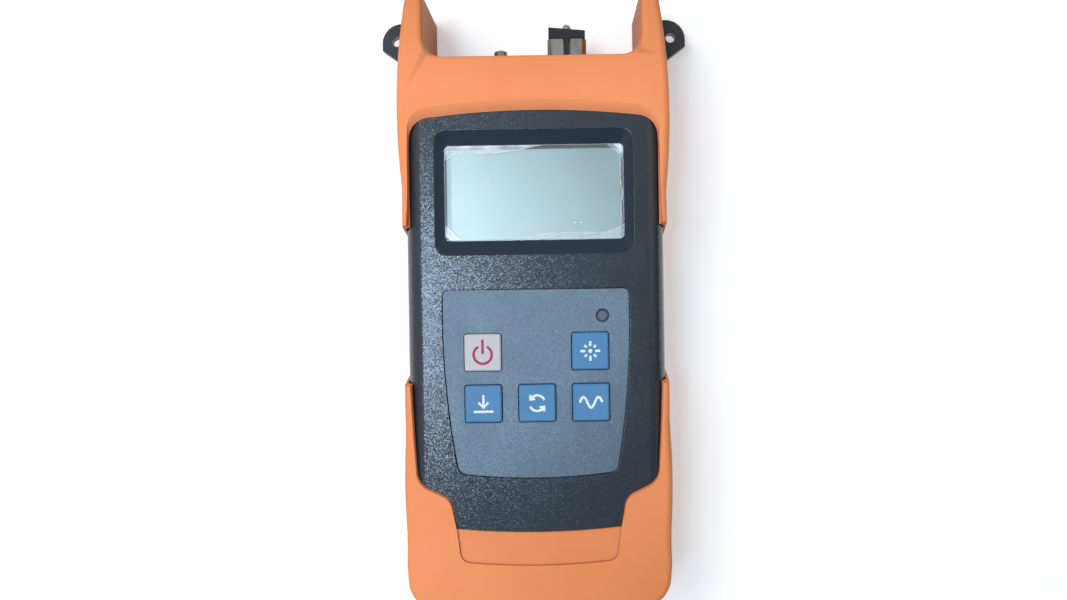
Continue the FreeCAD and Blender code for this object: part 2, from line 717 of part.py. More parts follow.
def port_holes(name):
    """The holes of the two ports through the casing's end wall."""
    rear = "(case_top - case_wall - overshoot)"
    front = "(case_top + overshoot)"
    return [
        lying_rod(name + "_power", "power_port_x", rear, front, "port_middle", "adapter_spigot + boot_fit"),
        lying_rod(name + "_fault", "-fault_port_x", rear, front, "port_middle", "nozzle_round + boot_fit"),
    ]


def build_rear_shell():
    shell = casing_form("rear_block", "0", "case_back", "parting")
    soften(shell, "Chamfer", "back_edge", level_at("case_back"))
    hollow = casing_form("rear_hollow", "(-case_wall)", "inner_back", "parting + overshoot")
    open_shell = cut("rear_open", shell, [hollow])
    bay_low = "(bay_middle - bay_half_length)"
    bay_high = "(bay_middle + bay_half_length)"
    ledge_face = "(case_back + door_thick + door_gap)"
    solids = [open_shell]
    solids.append(block("bay_floor", "-door_half_width - bay_wall", "door_half_width + bay_wall",
                        "door_foot - bay_wall", "door_top + bay_wall",
                        "case_back", f"{ledge_face} + bay_wall"))
    solids.append(block("bay_walls", "-bay_half_width - bay_wall", "bay_half_width + bay_wall",
                        f"{bay_low} - bay_wall", f"{bay_high} + bay_wall",
                        "case_back", "bay_ceiling + bay_wall"))
    for number, (x, y) in enumerate(CASE_SCREWS, start=1):
        solids.append(rod(f"rear_boss_{number}", x, y, "case_back + overshoot", "parting", "boss_round"))
    solids += build_lugs("lug", "0")
    solid = fuse("rear_solid", solids)
    door_hole = prism("door_recess",
                      centred("2 * (door_half_width + door_gap)", "2 * (door_half_length + door_gap)",
                              "bay_middle"),
                      "case_back - overshoot", ledge_face)
    soften(door_hole, "Fillet", "door_corner + door_gap", upright)
    tools = [door_hole]
    tools.append(block("bay_hollow", "-bay_half_width", "bay_half_width", bay_low, bay_high,
                       "case_back - overshoot", "bay_ceiling"))
    for number, (x, y) in enumerate(CASE_SCREWS, start=1):
        seat = "(case_back + head_depth)"
        tools.append(rod(f"head_hole_{number}", x, y, "case_back - overshoot", seat, "case_head + screw_gap"))
        tools.append(rod(f"shank_hole_{number}", x, y, f"{seat} - overshoot", "parting + overshoot",
                         "case_screw + screw_gap"))
    for side, sign in (("right", ""), ("left", "-")):
        tools.append(rod(f"lug_eye_{side}", f"{sign}lug_eye_x", "lug_eye_y", "lug_low - overshoot",
                         "lug_low + lug_thick + overshoot", "lug_eye / 2"))
    tools += port_holes("rear_port")
    keep(cut("rear_shell", solid, tools), "rear_shell")


def bezel_tool():
    """The sloping recess round the display, wide at the face and narrow at its floor."""
    body = new_body("bezel_tool")
    profiles = []
    outer = ("bezel_width", "bezel_height", "case_front", "bezel_corner")
    inner = ("view_width + 2 * bezel_seat", "view_height + 2 * bezel_seat", "bezel_floor",
             "view_corner + bezel_seat")
    for width, height, level, corner in (outer, inner):
        sketch = new_sketch(body, "XY_Plane", level)
        draw_rounded(sketch, width, height, "display_middle", corner)
        profiles.append(sketch)
    loft = body.newObject("PartDesign::AdditiveLoft", "Loft")
    loft.Profile = profiles[0]
    loft.Sections = [profiles[1]]
    loft.Ruled = True
    doc.recompute()
    return body


def draw_rounded(sketch, width, height, middle_y, corner):
    """A rounded rectangle about the middle line."""
    x = f"(({width}) / 2)"
    y = f"(({height}) / 2)"
    inset_x = f"({x} - ({corner}))"
    inset_y = f"({y} - ({corner}))"
    corners = []
    for sx, sy, arc_first in (("", "-", True), ("", "", False), ("-", "", True), ("-", "-", False)):
        on_side = (f"{sx}{x}", f"{middle_y} + {sy}{inset_y}".replace("+ -", "- "))
        on_end = (f"{sx}{inset_x}", f"{middle_y} + {sy}{y}".replace("+ -", "- "))
        first, last = (on_end, on_side) if arc_first else (on_side, on_end)
        corners.append(first)
        corners.append(last + (corner, 1))
    draw(sketch, corners)


def build_front_shell():
    shell = casing_form("front_block", "0", "parting", "case_front")
    soften(shell, "Fillet", "front_round", level_at("case_front"))
    hollow = casing_form("front_hollow", "(-case_wall)", "parting - overshoot", "inner_front")
    soften(hollow, "Chamfer", "(front_round - case_wall) / 2", level_at("inner_front"))
    open_shell = cut("front_open", shell, [hollow])
    solids = [open_shell]
    for number, (x, y) in enumerate(CASE_SCREWS, start=1):
        solids.append(rod(f"front_boss_{number}", x, y, "parting", "inner_front + overlap", "boss_round"))
    for number, (x, y) in enumerate(BOARD_SCREWS, start=1):
        solids.append(rod(f"board_post_{number}", x, y, "board_face", "inner_front + overlap", "post_round"))
    solid = fuse("front_solid", solids)
    tools = [foot_step("front_step", "0"), bezel_tool()]
    tools.append(overlay_form("overlay_recess", "pad_groove", "pad_floor", "case_front + overshoot"))
    view = prism("view_hole", centred("view_width", "view_height", "display_middle"),
                 "inner_front - overshoot", "case_front")
    soften(view, "Fillet", "view_corner", upright)
    tools.append(view)
    for name, x, y in KEYS:
        tools.append(key_hole(name + "_casing_hole", x, y))
    tools.append(rod("light_hole", "light_x", "-light_y", "inner_front - overshoot", "case_front",
                     "light_round + boot_fit"))
    for number, (x, y) in enumerate(CASE_SCREWS, start=1):
        tools.append(rod(f"insert_hole_{number}", x, y, "parting - overshoot", "parting + insert_long",
                         "insert_round"))
        tools.append(rod(f"tip_hole_{number}", x, y, "parting", "parting + insert_long + tip_room",
                         "case_screw + screw_gap"))
    for number, (x, y) in enumerate(BOARD_SCREWS, start=1):
        tools.append(rod(f"pilot_{number}", x, y, "board_face - overshoot", "board_face + small_screw_long",
                         "small_screw + screw_gap"))
    tools += port_holes("front_port")
    keep(cut("front_shell", solid, tools), "front_shell")


def build_case_fasteners():
    for number, (x, y) in enumerate(CASE_SCREWS, start=1):
        seat = "(case_back + head_depth)"
        screw = fuse(f"case_screw_body_{number}", [
            rod(f"case_head_{number}", x, y, f"{seat} - case_head_tall", seat, "case_head"),
            rod(f"case_shank_{number}", x, y, f"{seat} - overlap", f"{seat} + case_screw_long", "case_screw"),
        ])
        cross = cross_recess(f"case_cross_{number}", x, y, f"{seat} - case_head_tall")
        keep(cut(f"case_screw_{number}", screw, cross), f"case_screw_{number}")
        sleeve = rod(f"insert_outer_{number}", x, y, "parting", "parting + insert_long", "insert_round")
        thread = rod(f"insert_inner_{number}", x, y, "parting - overshoot",
                     "parting + insert_long + overshoot", "case_screw + screw_gap")
        keep(cut(f"insert_{number}", sleeve, [thread]), f"threaded_insert_{number}")


def cross_recess(name, x, y, face):
    """A cross recess sunk upwards into a screw head whose face is at the given height."""
    arms = []
    for across, along in (("socket_wide", "socket_slot / 2"), ("socket_slot / 2", "socket_wide")):
        arms.append(block(f"{name}_arm", f"{x} - {across}", f"{x} + {across}", f"{y} - {along}",
                          f"{y} + {along}", f"{face} - overshoot", f"{face} + socket_deep"))
    return arms


# Boot.

def boot_outline():
    foot_ends = bowed_foot("boot_foot", "boot_foot_half", "foot_bend")
    return [
        ("boot_foot_half", foot_ends, "foot_bend", 1),
        ("boot_waist", "-lower_flank_start", "flank_bend", 1),
        ("boot_waist", "upper_flank_start"),
        ("horn_tip_half", "horn_tip", "flank_bend", 1),
        ("horn_half", "horn_tip"),
        ("horn_half", "boot_end"),
        ("-horn_half", "boot_end"),
        ("-horn_half", "horn_tip"),
        ("-horn_tip_half", "horn_tip"),
        ("-boot_waist", "upper_flank_start", "flank_bend", 1),
        ("-boot_waist", "-lower_flank_start"),
        ("-boot_foot_half", foot_ends, "flank_bend", 1),
    ]


def boot_block():
    body = prism("boot_block", boot_outline(), "0", "boot_front")
    waist = value("boot_waist")
    gap = value("horn_half")
    tip = near_row("horn_tip")
    back = level_at("0")
    front = level_at("boot_front")

    def at_x(edge, x):
        return abs(abs(edge.BoundBox.XMin) - x) < TOUCH

    soften(body, "Fillet", "boot_foot_corner",
           near_row(bowed_foot("boot_foot", "boot_foot_half", "foot_bend")))
    soften(body, "Fillet", "horn_root", near_row("boot_end"))
    soften(body, "Fillet", "horn_outer_round", lambda e: tip(e) and not at_x(e, gap))
    soften(body, "Fillet", "horn_inner_round", lambda e: tip(e) and at_x(e, gap))
    soften(body, "Fillet", "waist_blend", lambda e: upright(e) and at_x(e, waist))
    soften(body, "Fillet", "boot_rim", lambda e: front(e) or back(e))
    return body


def casing_space():
    """The room that the casing takes inside the boot."""
    space = casing_form("casing_space", "boot_fit", "boot_back", "case_front + boot_fit")
    soften(space, "Chamfer", "front_round / 2", level_at("case_front + boot_fit"))
    soften(space, "Chamfer", "back_edge", level_at("boot_back"))
    return cut("stepped_space", space, [foot_step("space_step", "boot_fit")])


def window_form(name, low, high, top="0", side="0"):
    """The window as a solid between two heights, with its corners rounded."""
    body = prism(name, window_outline(top, side), low, high)
    soften(body, "Fillet", f"window_corner + {side}", lambda e: upright(e) and e.BoundBox.YMin > 0)
    soften(body, "Fillet", f"shoulder_round + {side}", near_row(f"-shoulder_low - {side}"))
    soften(body, "Fillet", f"neck_round - {side}", near_row(f"-neck_low - {side}"))
    return body


def edge_wire(body, height):
    """The outline of the body's flat face at one height."""
    flat = level_at(height)
    return next(face.OuterWire for face in body.Shape.Faces if flat(face))


def lip_tool():
    """The slope that leads from the boot's face down to the window."""
    low = "(case_front + boot_fit)"
    inner = window_form("lip_inner", low, "boot_front")
    outer = window_form("lip_outer", low, "boot_front", "lip_top", "lip_side")
    slope = doc.addObject("Part::Feature", "lip_tool")
    slope.Shape = Part.makeLoft([edge_wire(inner, low), edge_wire(outer, "boot_front")], True, True)
    return slope


def tongue_tool():
    top = bowed_foot("window_foot - overshoot", "neck_foot_half", "foot_bend")
    foot = bowed_foot("tongue_foot", "tongue_foot_half", "tongue_bend")
    outline = [
        ("tongue_foot_half", foot, "tongue_bend", 1),
        ("neck_foot_half", top),
        ("-neck_foot_half", top),
        ("-tongue_foot_half", foot),
    ]
    body = prism("tongue_tool", outline, "tongue_face", "boot_front + overshoot")
    soften(body, "Fillet", "tongue_round", near_row(foot))
    return body


def waist_tool():
    """The two side cut-outs as one bar across the waist, with sloping ends."""
    body = new_body("waist_tool")
    pad(body, "YZ_Plane", "-case_width", "case_width", [
        ("-waist_low + waist_slope", "waist_floor"),
        ("waist_high - waist_slope", "waist_floor"),
        ("waist_high", "boot_front + overshoot"),
        ("-waist_low", "boot_front + overshoot"),
    ])
    floor = level_at("waist_floor")
    soften(body, "Fillet", "waist_round", lambda e: floor(e) and e.BoundBox.YLength < TOUCH)
    return body


def build_boot():
    margin = "(door_gap + back_window_margin)"
    back_window = prism("boot_back_window",
                        centred(f"2 * (door_half_width + {margin})", f"2 * (door_half_length + {margin})",
                                "bay_middle"),
                        "-overshoot", "boot_back + overlap")
    soften(back_window, "Fillet", "door_corner + back_window_margin", upright)
    port_window = new_body("boot_port_window")
    pad(port_window, "XZ_Plane", "-boot_end - overshoot", "-case_top", rectangle(
        "-port_window_half", "port_window_half",
        "port_middle - port_window_tall / 2", "port_middle + port_window_tall / 2"))
    soften(port_window, "Fillet", "door_corner", lengthwise)
    window = window_form("window_tool", "step_face", "boot_front + overshoot")
    tools = [casing_space(), window, lip_tool(), tongue_tool(), waist_tool(), back_window, port_window]
    tools += build_lugs("boot_lug", "boot_fit")
    keep(cut("protective_boot", boot_block(), tools), "protective_boot")


# Display.

def build_display():
    lens_low = "(inner_front - lens_thick)"
    flange = "2 * (lens_flange - lens_fit)"
    lens = prism("lens_body", centred(f"view_width + {flange}", f"view_height + {flange}", "display_middle"),
                 lens_low, "inner_front")
    pad(lens, "XY_Plane", "inner_front", "bezel_floor",
        centred("view_width - 2 * lens_fit", "view_height - 2 * lens_fit", "display_middle"))
    soften(lens, "Fillet", "view_corner - lens_fit",
           lambda e: upright(e) and e.BoundBox.ZMax > value("inner_front") + TOUCH)
    keep(lens, "display_lens")
    film = prism("film_body",
                 centred("view_width - 4 * lens_fit", "view_height - 4 * lens_fit", "display_middle"),
                 "bezel_floor", "bezel_floor + film_thick")
    soften(film, "Fillet", "view_corner - 2 * lens_fit", upright)
    keep(film, "protective_film")
    glass_top = f"({lens_low} - lens_fit)"
    glass_low = f"({glass_top} - glass_thick)"
    keep(prism("glass_body", centred("glass_width", "glass_height", "display_middle"),
               glass_low, glass_top), "display_glass")
    holder = prism("holder_body", centred("glass_width + 2 * holder_rim", "glass_height + 2 * holder_rim",
                                          "display_middle"), "board_face", glass_top)
    pocket(holder, "XY_Plane", glass_low, f"{glass_top} + overshoot",
           centred("glass_width + 2 * lens_fit", "glass_height + 2 * lens_fit", "display_middle"))
    light_low = "(board_face + holder_rim / 2)"
    pocket(holder, "XY_Plane", light_low, f"{glass_low} + overlap",
           centred("view_width", "view_height - 4 * holder_rim", "display_middle"))
    strip_y = "(glass_height / 2 - holder_rim)"
    for sign in ("+", "-"):
        pocket(holder, "XY_Plane", "board_face - overshoot", f"{glass_low} + overlap",
               centred("view_width", "holder_rim", f"(display_middle {sign} {strip_y})"))
    keep(holder, "display_holder")
    backlight = prism("backlight_body",
                      centred("view_width - 2 * lens_fit", "view_height - 4 * holder_rim - 2 * lens_fit",
                              "display_middle"), light_low, f"{glass_low} - lens_fit")
    keep(backlight, "backlight")
    for name, sign in (("upper", "+"), ("lower", "-")):
        strip = prism(f"{name}_strip_body",
                      centred("view_width - 2 * lens_fit", "holder_rim - 2 * lens_fit",
                              f"(display_middle {sign} {strip_y})"), "board_face", glass_low)
        keep(strip, f"{name}_contact_strip")


# Keypad.

def build_keypad():
    overlay = overlay_form("overlay_body", "0", "pad_floor", "pad_face")
    tools = [key_hole(name + "_overlay_hole", x, y) for name, x, y in KEYS]
    tools.append(rod("light_window", "light_x", "-light_y", "pad_floor - overshoot", "pad_face + overshoot",
                     "light_round + boot_fit"))
    keep(cut("overlay_cut", overlay, tools), "keypad_overlay")
    for name, x, y in KEYS:
        build_key(name, x, y)
        build_switch(name, x, y)
    pipe = fuse("light_pipe", [
        rod("pipe_stem", "light_x", "-light_y", "inner_front - overlap", "pad_face", "light_round"),
        rod("pipe_flange", "light_x", "-light_y", "inner_front - light_flange", "inner_front",
            "light_round + light_flange"),
    ])
    keep(pipe, "indicator_light")
    keep(rod("diode", "light_x", "-light_y", "board_face", "inner_front - light_flange - key_gap",
             "led_round"), "indicator_diode")


def build_key(name, x, y):
    key = prism(name + "_body", key_outline(x, y, "0"), "key_foot", "key_face")
    soften(key, "Fillet", "key_corner", upright)
    soften(key, "Chamfer", "key_edge", level_at("key_face"))
    pad(key, "XY_Plane", "key_foot", "flange_face", key_outline(x, y, "key_flange"))
    keep(key, name)


def build_switch(name, x, y):
    """The tactile switch under a key, and the plunger that moves with the key."""
    plunger_foot = "(switch_face - plunger_sunk)"
    keep(rod(name + "_plunger_rod", x, y, plunger_foot, "key_foot", "plunger_round"), name + "_plunger")
    half = "switch_width / 2"
    housing = block(name + "_housing", f"{x} - {half}", f"{x} + {half}", f"{y} - {half}", f"{y} + {half}",
                    "board_face", "switch_face")
    hole = rod(name + "_housing_hole", x, y, "switch_face - switch_hole", "switch_face + overshoot",
               "plunger_round + plunger_gap")
    keep(cut(name + "_switch_cut", housing, [hole]), name + "_switch")


# Circuit board.

def build_board():
    board = prism("board_body", rectangle("-board_half", "board_half", "-board_foot", "board_top"),
                  "board_low", "board_face")
    soften(board, "Fillet", "board_corner", upright)
    holes = []
    for number, (x, y) in enumerate(BOARD_SCREWS, start=1):
        holes.append(rod(f"board_hole_{number}", x, y, "board_low - overshoot", "board_face + overshoot",
                         "small_screw + screw_gap"))
        screw = fuse(f"board_screw_body_{number}", [
            rod(f"board_head_{number}", x, y, "board_low - small_head_tall", "board_low", "small_head"),
            rod(f"board_shank_{number}", x, y, "board_low - overlap", "board_low + small_screw_long",
                "small_screw"),
        ])
        keep(screw, f"board_screw_{number}")
    keep(cut("board_cut", board, holes), "main_board")
    chips = []
    for name, x, wide, long, tall in CHIPS:
        chips.append(block(name, f"{x} - {wide} / 2", f"{x} + {wide} / 2", "-board_foot + chip_up",
                           f"-board_foot + chip_up + {long}", "board_face", f"board_face + {tall}"))
    chips.append(rod("sounder", "chip_side", "-board_foot + sounder_up", "board_face",
                     "board_face + sounder_tall", "sounder_round"))
    keep(group("chips", chips), "board_components")


# Battery bay.

def build_batteries():
    low = "(bay_middle - bay_half_length + plate_thick)"
    high = "(bay_middle + bay_half_length - plate_thick)"
    columns = [("left", "-cell_pitch", True), ("middle", "0", False), ("right", "cell_pitch", True)]
    for name, x, nub_up in columns:
        can_low = f"({low} + spring_long)" if nub_up else f"({low} + cell_nub)"
        can_high = f"({can_low} + cell_long)"
        can = lying_rod(f"{name}_can", x, can_low, can_high, "cell_height", "cell_round")
        if nub_up:
            nub = lying_rod(f"{name}_nub", x, f"{can_high} - overshoot", high, "cell_height",
                            "cell_nub_round")
            spring = coil_spring(f"{name}_coil", x, low, can_low, "spring_round", "spring_nose")
        else:
            nub = lying_rod(f"{name}_nub", x, low, f"{can_low} + overshoot", "cell_height",
                            "cell_nub_round")
            spring = coil_spring(f"{name}_coil", x, can_high, high, "spring_nose", "spring_round")
        keep(fuse(f"{name}_cell", [can, nub]), f"{name}_battery")
        keep(spring, f"{name}_battery_spring")
    width = "(bay_half_width - cell_gap)"
    floor = "(cell_height - cell_round)"
    top = "(bay_ceiling - cell_gap)"
    keep(block("plate_low", f"-{width}", width, f"{low} - plate_thick", low, floor, top),
         "lower_contact_plate")
    keep(block("plate_high", f"-{width}", width, high, f"{high} + plate_thick", floor, top),
         "upper_contact_plate")


def coil_spring(name, x, rear, front, rear_radius, front_radius):
    """A conical battery spring, wound tight enough to read as a tapered sleeve."""
    outer = lying_rod(name + "_outer", x, rear, front, "cell_height", rear_radius, front_radius)
    inner = lying_rod(name + "_inner", x, rear, front, "cell_height",
                      f"{rear_radius} - spring_wire", f"{front_radius} - spring_wire")
    return cut(name, outer, [inner])


def build_door():
    door = prism("door_body", centred("2 * door_half_width", "2 * door_half_length", "bay_middle"),
                 "case_back", "case_back + door_thick")
    soften(door, "Fillet", "door_corner", upright)
    for number in range(GRIP_RIBS):
        low = f"(door_top - grip_long + {2 * number} * grip_rib)"
        pocket(door, "XY_Plane", "case_back - overshoot", "case_back + grip_deep",
               rectangle("-grip_long", "grip_long", low, f"({low} + grip_rib)"))
    keep(door, "battery_door")


# Ports.

def build_power_port():
    half = "adapter_width / 2"
    adapter = new_body("adapter_block")
    pad(adapter, "XZ_Plane", "-adapter_end", "-case_top", rectangle(
        f"power_port_x - {half}", f"power_port_x + {half}",
        f"port_middle - {half}", f"port_middle + {half}"))
    soften(adapter, "Chamfer", "adapter_edge", lengthwise)
    inner_end = "(case_top - case_wall - spigot_inside)"
    spigot = lying_rod("adapter_spigot_rod", "power_port_x", inner_end, "case_top + overshoot",
                       "port_middle", "adapter_spigot")
    slot = block("adapter_key_slot", "power_port_x - adapter_slot / 2", "power_port_x + adapter_slot / 2",
                 "case_top + flange_thick", "adapter_end + overshoot",
                 f"port_middle + {half} - adapter_slot_deep", f"port_middle + {half} + overshoot")
    bore = lying_rod("adapter_bore", "power_port_x", f"{inner_end} - overshoot",
                     "adapter_end + overshoot", "port_middle", "ferrule_bore")
    keep(cut("adapter_cut", fuse("adapter_solid", [adapter, spigot]), [slot, bore]), "power_port_adapter")
    can_end = f"({inner_end} - sensor_long)"
    keep(lying_rod("sensor_can", "power_port_x", can_end, inner_end, "port_middle", "sensor_round"),
         "photodiode")
    keep(block("sensor_plate", "power_port_x - sensor_board / 2", "power_port_x + sensor_board / 2",
               f"{can_end} - sensor_board_thick", can_end,
               "port_middle - sensor_board / 2", "board_low - sensor_board_gap"), "photodiode_board")
    build_dust_cap()


def build_dust_cap():
    half = "(cap_width / 2)"
    left = f"(power_port_x - {half})"
    right = f"(power_port_x + {half})"
    roof = prism("cap_block", [
        (left, "cap_foot"),
        (right, "cap_foot"),
        (right, "cap_foot + cap_low_side"),
        (left, "cap_foot + cap_tall"),
    ], f"port_middle - {half}", f"port_middle + {half}")
    rib = block("cap_rib_block", "power_port_x - cap_rib / 2", "power_port_x + cap_rib / 2",
                "cap_foot - cap_rib_long", "cap_foot + overlap",
                "port_middle + adapter_width / 2 - adapter_slot_deep + cap_lift", f"port_middle + {half}")
    plug = lying_rod("cap_plug", "power_port_x", "cap_foot - cap_plug_long", "cap_foot + overlap",
                     "port_middle", "ferrule_bore - plug_gap")
    shank_end = "(cap_foot + stud_seat)"
    stud_hole = lying_rod("cap_stud_hole", "power_port_x", shank_end, "cap_foot + cap_tall + overshoot",
                          "port_middle", "stud_shank + boot_fit")
    keep(cut("cap_cut", fuse("cap_solid", [roof, rib, plug]), [stud_hole]), "port_dust_cap")
    head_seat = "(cap_foot + (cap_tall + cap_low_side) / 2 + stud_lift)"
    head = body_on("stud_body", fuse("stud_solid", [
        lying_rod("stud_shank_rod", "power_port_x", shank_end, f"{head_seat} + overlap", "port_middle",
                  "stud_shank"),
        lying_rod("stud_head", "power_port_x", head_seat, f"{head_seat} + stud_tall", "port_middle",
                  "stud_round"),
    ]))
    end = value(f"{head_seat} + stud_tall")
    soften(head, "Fillet", "stud_edge", lambda e: abs(e.BoundBox.YMin - end) < TOUCH)
    keep(head, "cap_stud")


def build_fault_port():
    rear = "(case_top - case_wall)"
    barrel = lying_rod("nozzle_barrel", "-fault_port_x", rear, "nozzle_end", "port_middle",
                       "nozzle_round")
    flange = lying_rod("nozzle_collar", "-fault_port_x", "case_top", "case_top + flange_thick",
                       "port_middle", "nozzle_flange")
    bore = lying_rod("nozzle_bore", "-fault_port_x", f"{rear} - overshoot", "nozzle_end + overshoot",
                     "port_middle", "ferrule_bore")
    nozzle = body_on("nozzle_body", cut("nozzle_cut", fuse("nozzle_solid", [barrel, flange]), [bore]))
    end = value("nozzle_end")
    rim = value("2 * nozzle_round")
    soften(nozzle, "Fillet", "nozzle_edge",
           lambda e: abs(e.BoundBox.YMin - end) < TOUCH and abs(e.BoundBox.XLength - rim) < TOUCH)
    keep(nozzle, "fault_port_nozzle")
    keep(lying_rod("laser_barrel", "-fault_port_x", f"{rear} - laser_long", rear, "port_middle",
                   "laser_round"), "laser_module")


def check_document():
    doc.recompute()
    failed = [item.Label for item in doc.Objects if {"Invalid", "Error"} & set(item.State)]
    failed += [item.Label for item in parts if item.Shape.isNull() or not item.Shape.isValid()]
    if failed:
        raise RuntimeError("failed: " + ", ".join(failed))


def write_parts():
    os.makedirs("parts", exist_ok=True)
    for item in parts:
        item.Shape.exportStep(f"parts/{item.Label}.step")
        solids = len(item.Shape.Solids)
        print(f"{item.Label}: {solids} solid(s), {item.Shape.Volume / 1000:.3f} cm3")


build_boot()
build_front_shell()
build_rear_shell()
build_door()
build_batteries()
build_display()
build_keypad()
build_board()
build_case_fasteners()
build_power_port()
build_fault_port()
check_document()
write_parts()
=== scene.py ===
import json
import math

import bmesh
import bpy
import numpy
from bpy.props import FloatProperty, FloatVectorProperty, PointerProperty
from mathutils import Color, Matrix, Vector, noise
from mathutils.kdtree import KDTree

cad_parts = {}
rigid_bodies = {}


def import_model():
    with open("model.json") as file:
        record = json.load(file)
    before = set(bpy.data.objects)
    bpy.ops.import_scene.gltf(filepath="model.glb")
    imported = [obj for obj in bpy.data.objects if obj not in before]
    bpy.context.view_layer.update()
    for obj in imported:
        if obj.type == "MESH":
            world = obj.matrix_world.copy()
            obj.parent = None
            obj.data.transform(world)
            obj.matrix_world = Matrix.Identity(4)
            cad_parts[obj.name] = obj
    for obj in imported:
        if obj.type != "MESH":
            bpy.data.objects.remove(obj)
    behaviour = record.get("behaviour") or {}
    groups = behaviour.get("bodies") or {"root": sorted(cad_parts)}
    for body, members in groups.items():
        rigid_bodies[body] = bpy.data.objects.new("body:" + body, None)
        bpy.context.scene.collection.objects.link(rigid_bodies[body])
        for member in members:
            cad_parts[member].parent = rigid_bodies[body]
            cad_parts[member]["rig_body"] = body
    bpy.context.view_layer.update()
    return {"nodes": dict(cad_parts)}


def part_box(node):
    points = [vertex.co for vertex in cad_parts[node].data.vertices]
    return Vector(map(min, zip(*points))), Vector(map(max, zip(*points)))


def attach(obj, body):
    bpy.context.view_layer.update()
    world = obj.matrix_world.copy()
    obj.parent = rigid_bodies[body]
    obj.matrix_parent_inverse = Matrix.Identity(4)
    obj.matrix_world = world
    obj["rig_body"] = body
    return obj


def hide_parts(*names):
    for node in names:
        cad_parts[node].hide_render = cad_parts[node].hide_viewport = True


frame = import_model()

# A handheld optical power meter, lying on its back on a pale floor. The packed
# model gives the shapes and places; this script gives the soft edges, printed
# marks and finishes, and the studio around them. Lengths are in metres.

bl_info = {
    "name": "Optical power meter",
    "version": (1, 0, 0),
    "blender": (4, 5, 0),
    "location": "3D View > Sidebar > Power Meter",
    "description": "Dresses the packed optical power meter and sets its stage",
    "category": "Object",
}

MM = 0.001
TOUCH = 0.01 * MM  # corners closer than this to a level lie on it
WELD = 0.0005 * MM  # corners closer than this to each other are one
NODES = frame["nodes"]
SLOTS = {name: node.active_material.name for name, node in NODES.items()}
BODIES = {name: node["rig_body"] for name, node in NODES.items()}

CASE_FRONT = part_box("front_shell")[1].z
BOOT_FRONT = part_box("protective_boot")[1].z
BOOT_MIDDLE = BOOT_FRONT / 2
LIP_FOOT = CASE_FRONT + 0.1 * MM
CASE_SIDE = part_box("front_shell")[1].x
GAP_SIDE, GAP_FLOOR = 30.9 * MM, 69.5 * MM
PAD_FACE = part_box("keypad_overlay")[1].z
LENS_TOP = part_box("display_lens")[1].z
FILM_LOW, FILM_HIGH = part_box("protective_film")
FILM_MIDDLE = (FILM_LOW + FILM_HIGH) / 2
GRIT_SIZE = 0.24 * MM
GRIT = [
    (FILM_MIDDLE.x + across * MM, FILM_MIDDLE.y + along * MM)
    for across, along in ((-13.7, 6.6), (-11.4, 3.5), (-5.3, -2.4), (11.4, -8.8), (13.2, -8.8))
]

FILM_GAP, FILM_THICK = 0.01 * MM, 0.02 * MM

# How the boot's flanks draw in, and how much shade is painted into its hollows.
FLANK_ROWS = 8
THIN_RUBBER = 1.6 * MM  # beside the casing, less rubber than this draws in less
CASE_GAP = 0.15 * MM  # between the casing and the boot
LIP_WIDTH = 1.6 * MM  # of the lip over the casing
EDGE_WIDTH = 1.0 * MM  # of the outermost rubber, that draws in as one
LEAST_WIDTH = 0.5 * MM  # over which the drawing in may start
HORN_CORE, HORN_WIDTH = 1.3 * MM, 3.4 * MM  # a horn's unmoved rubber, and what follows it
# Painted shade in the horns' gap, along the line round the tongue and at the lip's foot, and a
# faint darker tone on the tongue.
GAP_SHADE, LINE_SHADE, LIP_SHADE, TONGUE_DARK = 0.62, 0.6, 0.35, 0.06


def shade(red, green, blue):
    """A colour as a paint chart gives it, turned into the shader's own scale."""
    return Color((red / 255, green / 255, blue / 255)).from_srgb_to_scene_linear()[:]


def colour(name, description, red, green, blue):
    """A colour setting."""
    return FloatVectorProperty(
        name=name,
        description=description,
        subtype="COLOR",
        size=3,
        min=0.0,
        max=1.0,
        default=shade(red, green, blue),
    )


def length(name, description, value):
    """A length setting, in metres."""
    return FloatProperty(
        name=name, description=description, unit="LENGTH", precision=5, default=value
    )


def share(name, description, value):
    """A setting between nought and one."""
    return FloatProperty(
        name=name, description=description, subtype="FACTOR", min=0.0, max=1.0, default=value
    )


class BootSettings(bpy.types.PropertyGroup):
    rubber: colour("Rubber", "Colour of the rubber boot", 255, 156, 100)
    deep_rubber: colour("Deep rubber", "Colour of the rubber in its smudges", 240, 140, 84)
    # Painted shade: the rubber's colour towards the horns and the lower right heel, where less
    # light falls.
    worn_rubber: colour("Worn rubber", "Colour of the rubber where hands hold it", 222, 130, 72)
    # Painted shade: the rubber's colour in its shaded hollows.
    dark_rubber: colour("Dark rubber", "Colour of the rubber in its hollows", 150, 84, 50)
    lip: length("Lip", "Rounding of the edges round the front window", 0.28 * MM)
    rim: length("Rim", "Rounding of the outer edges in the packed shape", 1.7 * MM)
    crown: length("Crown", "How far the flanks draw in towards the front", 1.7 * MM)
    cover: length("Cover", "Least rubber beside the casing", 0.55 * MM)
    tongue_depth: length("Tongue depth", "Tongue below the front face", 0.8 * MM)
    shadow: length("Shadow", "Width of the darker line round the tongue", 0.5 * MM)
    roughness: share("Roughness", "Roughness of the rubber", 0.52)


class CasingSettings(bpy.types.PropertyGroup):
    plastic: colour("Plastic", "Colour of both shells and the battery door", 43, 50, 58)
    smooth_plastic: colour("Smooth plastic", "Colour of the bezel and the lugs", 43, 53, 65)
    bezel_edge: length("Bezel edge", "Rounding where the bezel starts", 0.6 * MM)
    recess_edge: length("Recess edge", "Rounding round the keypad recess", 0.12 * MM)
    grain: length("Grain", "Size of the spark-eroded grain", 0.29 * MM)
    lean: share("Lean", "How far the faces of the grain lean", 0.11)
    roughness: share("Roughness", "Roughness of the plastic", 0.22)


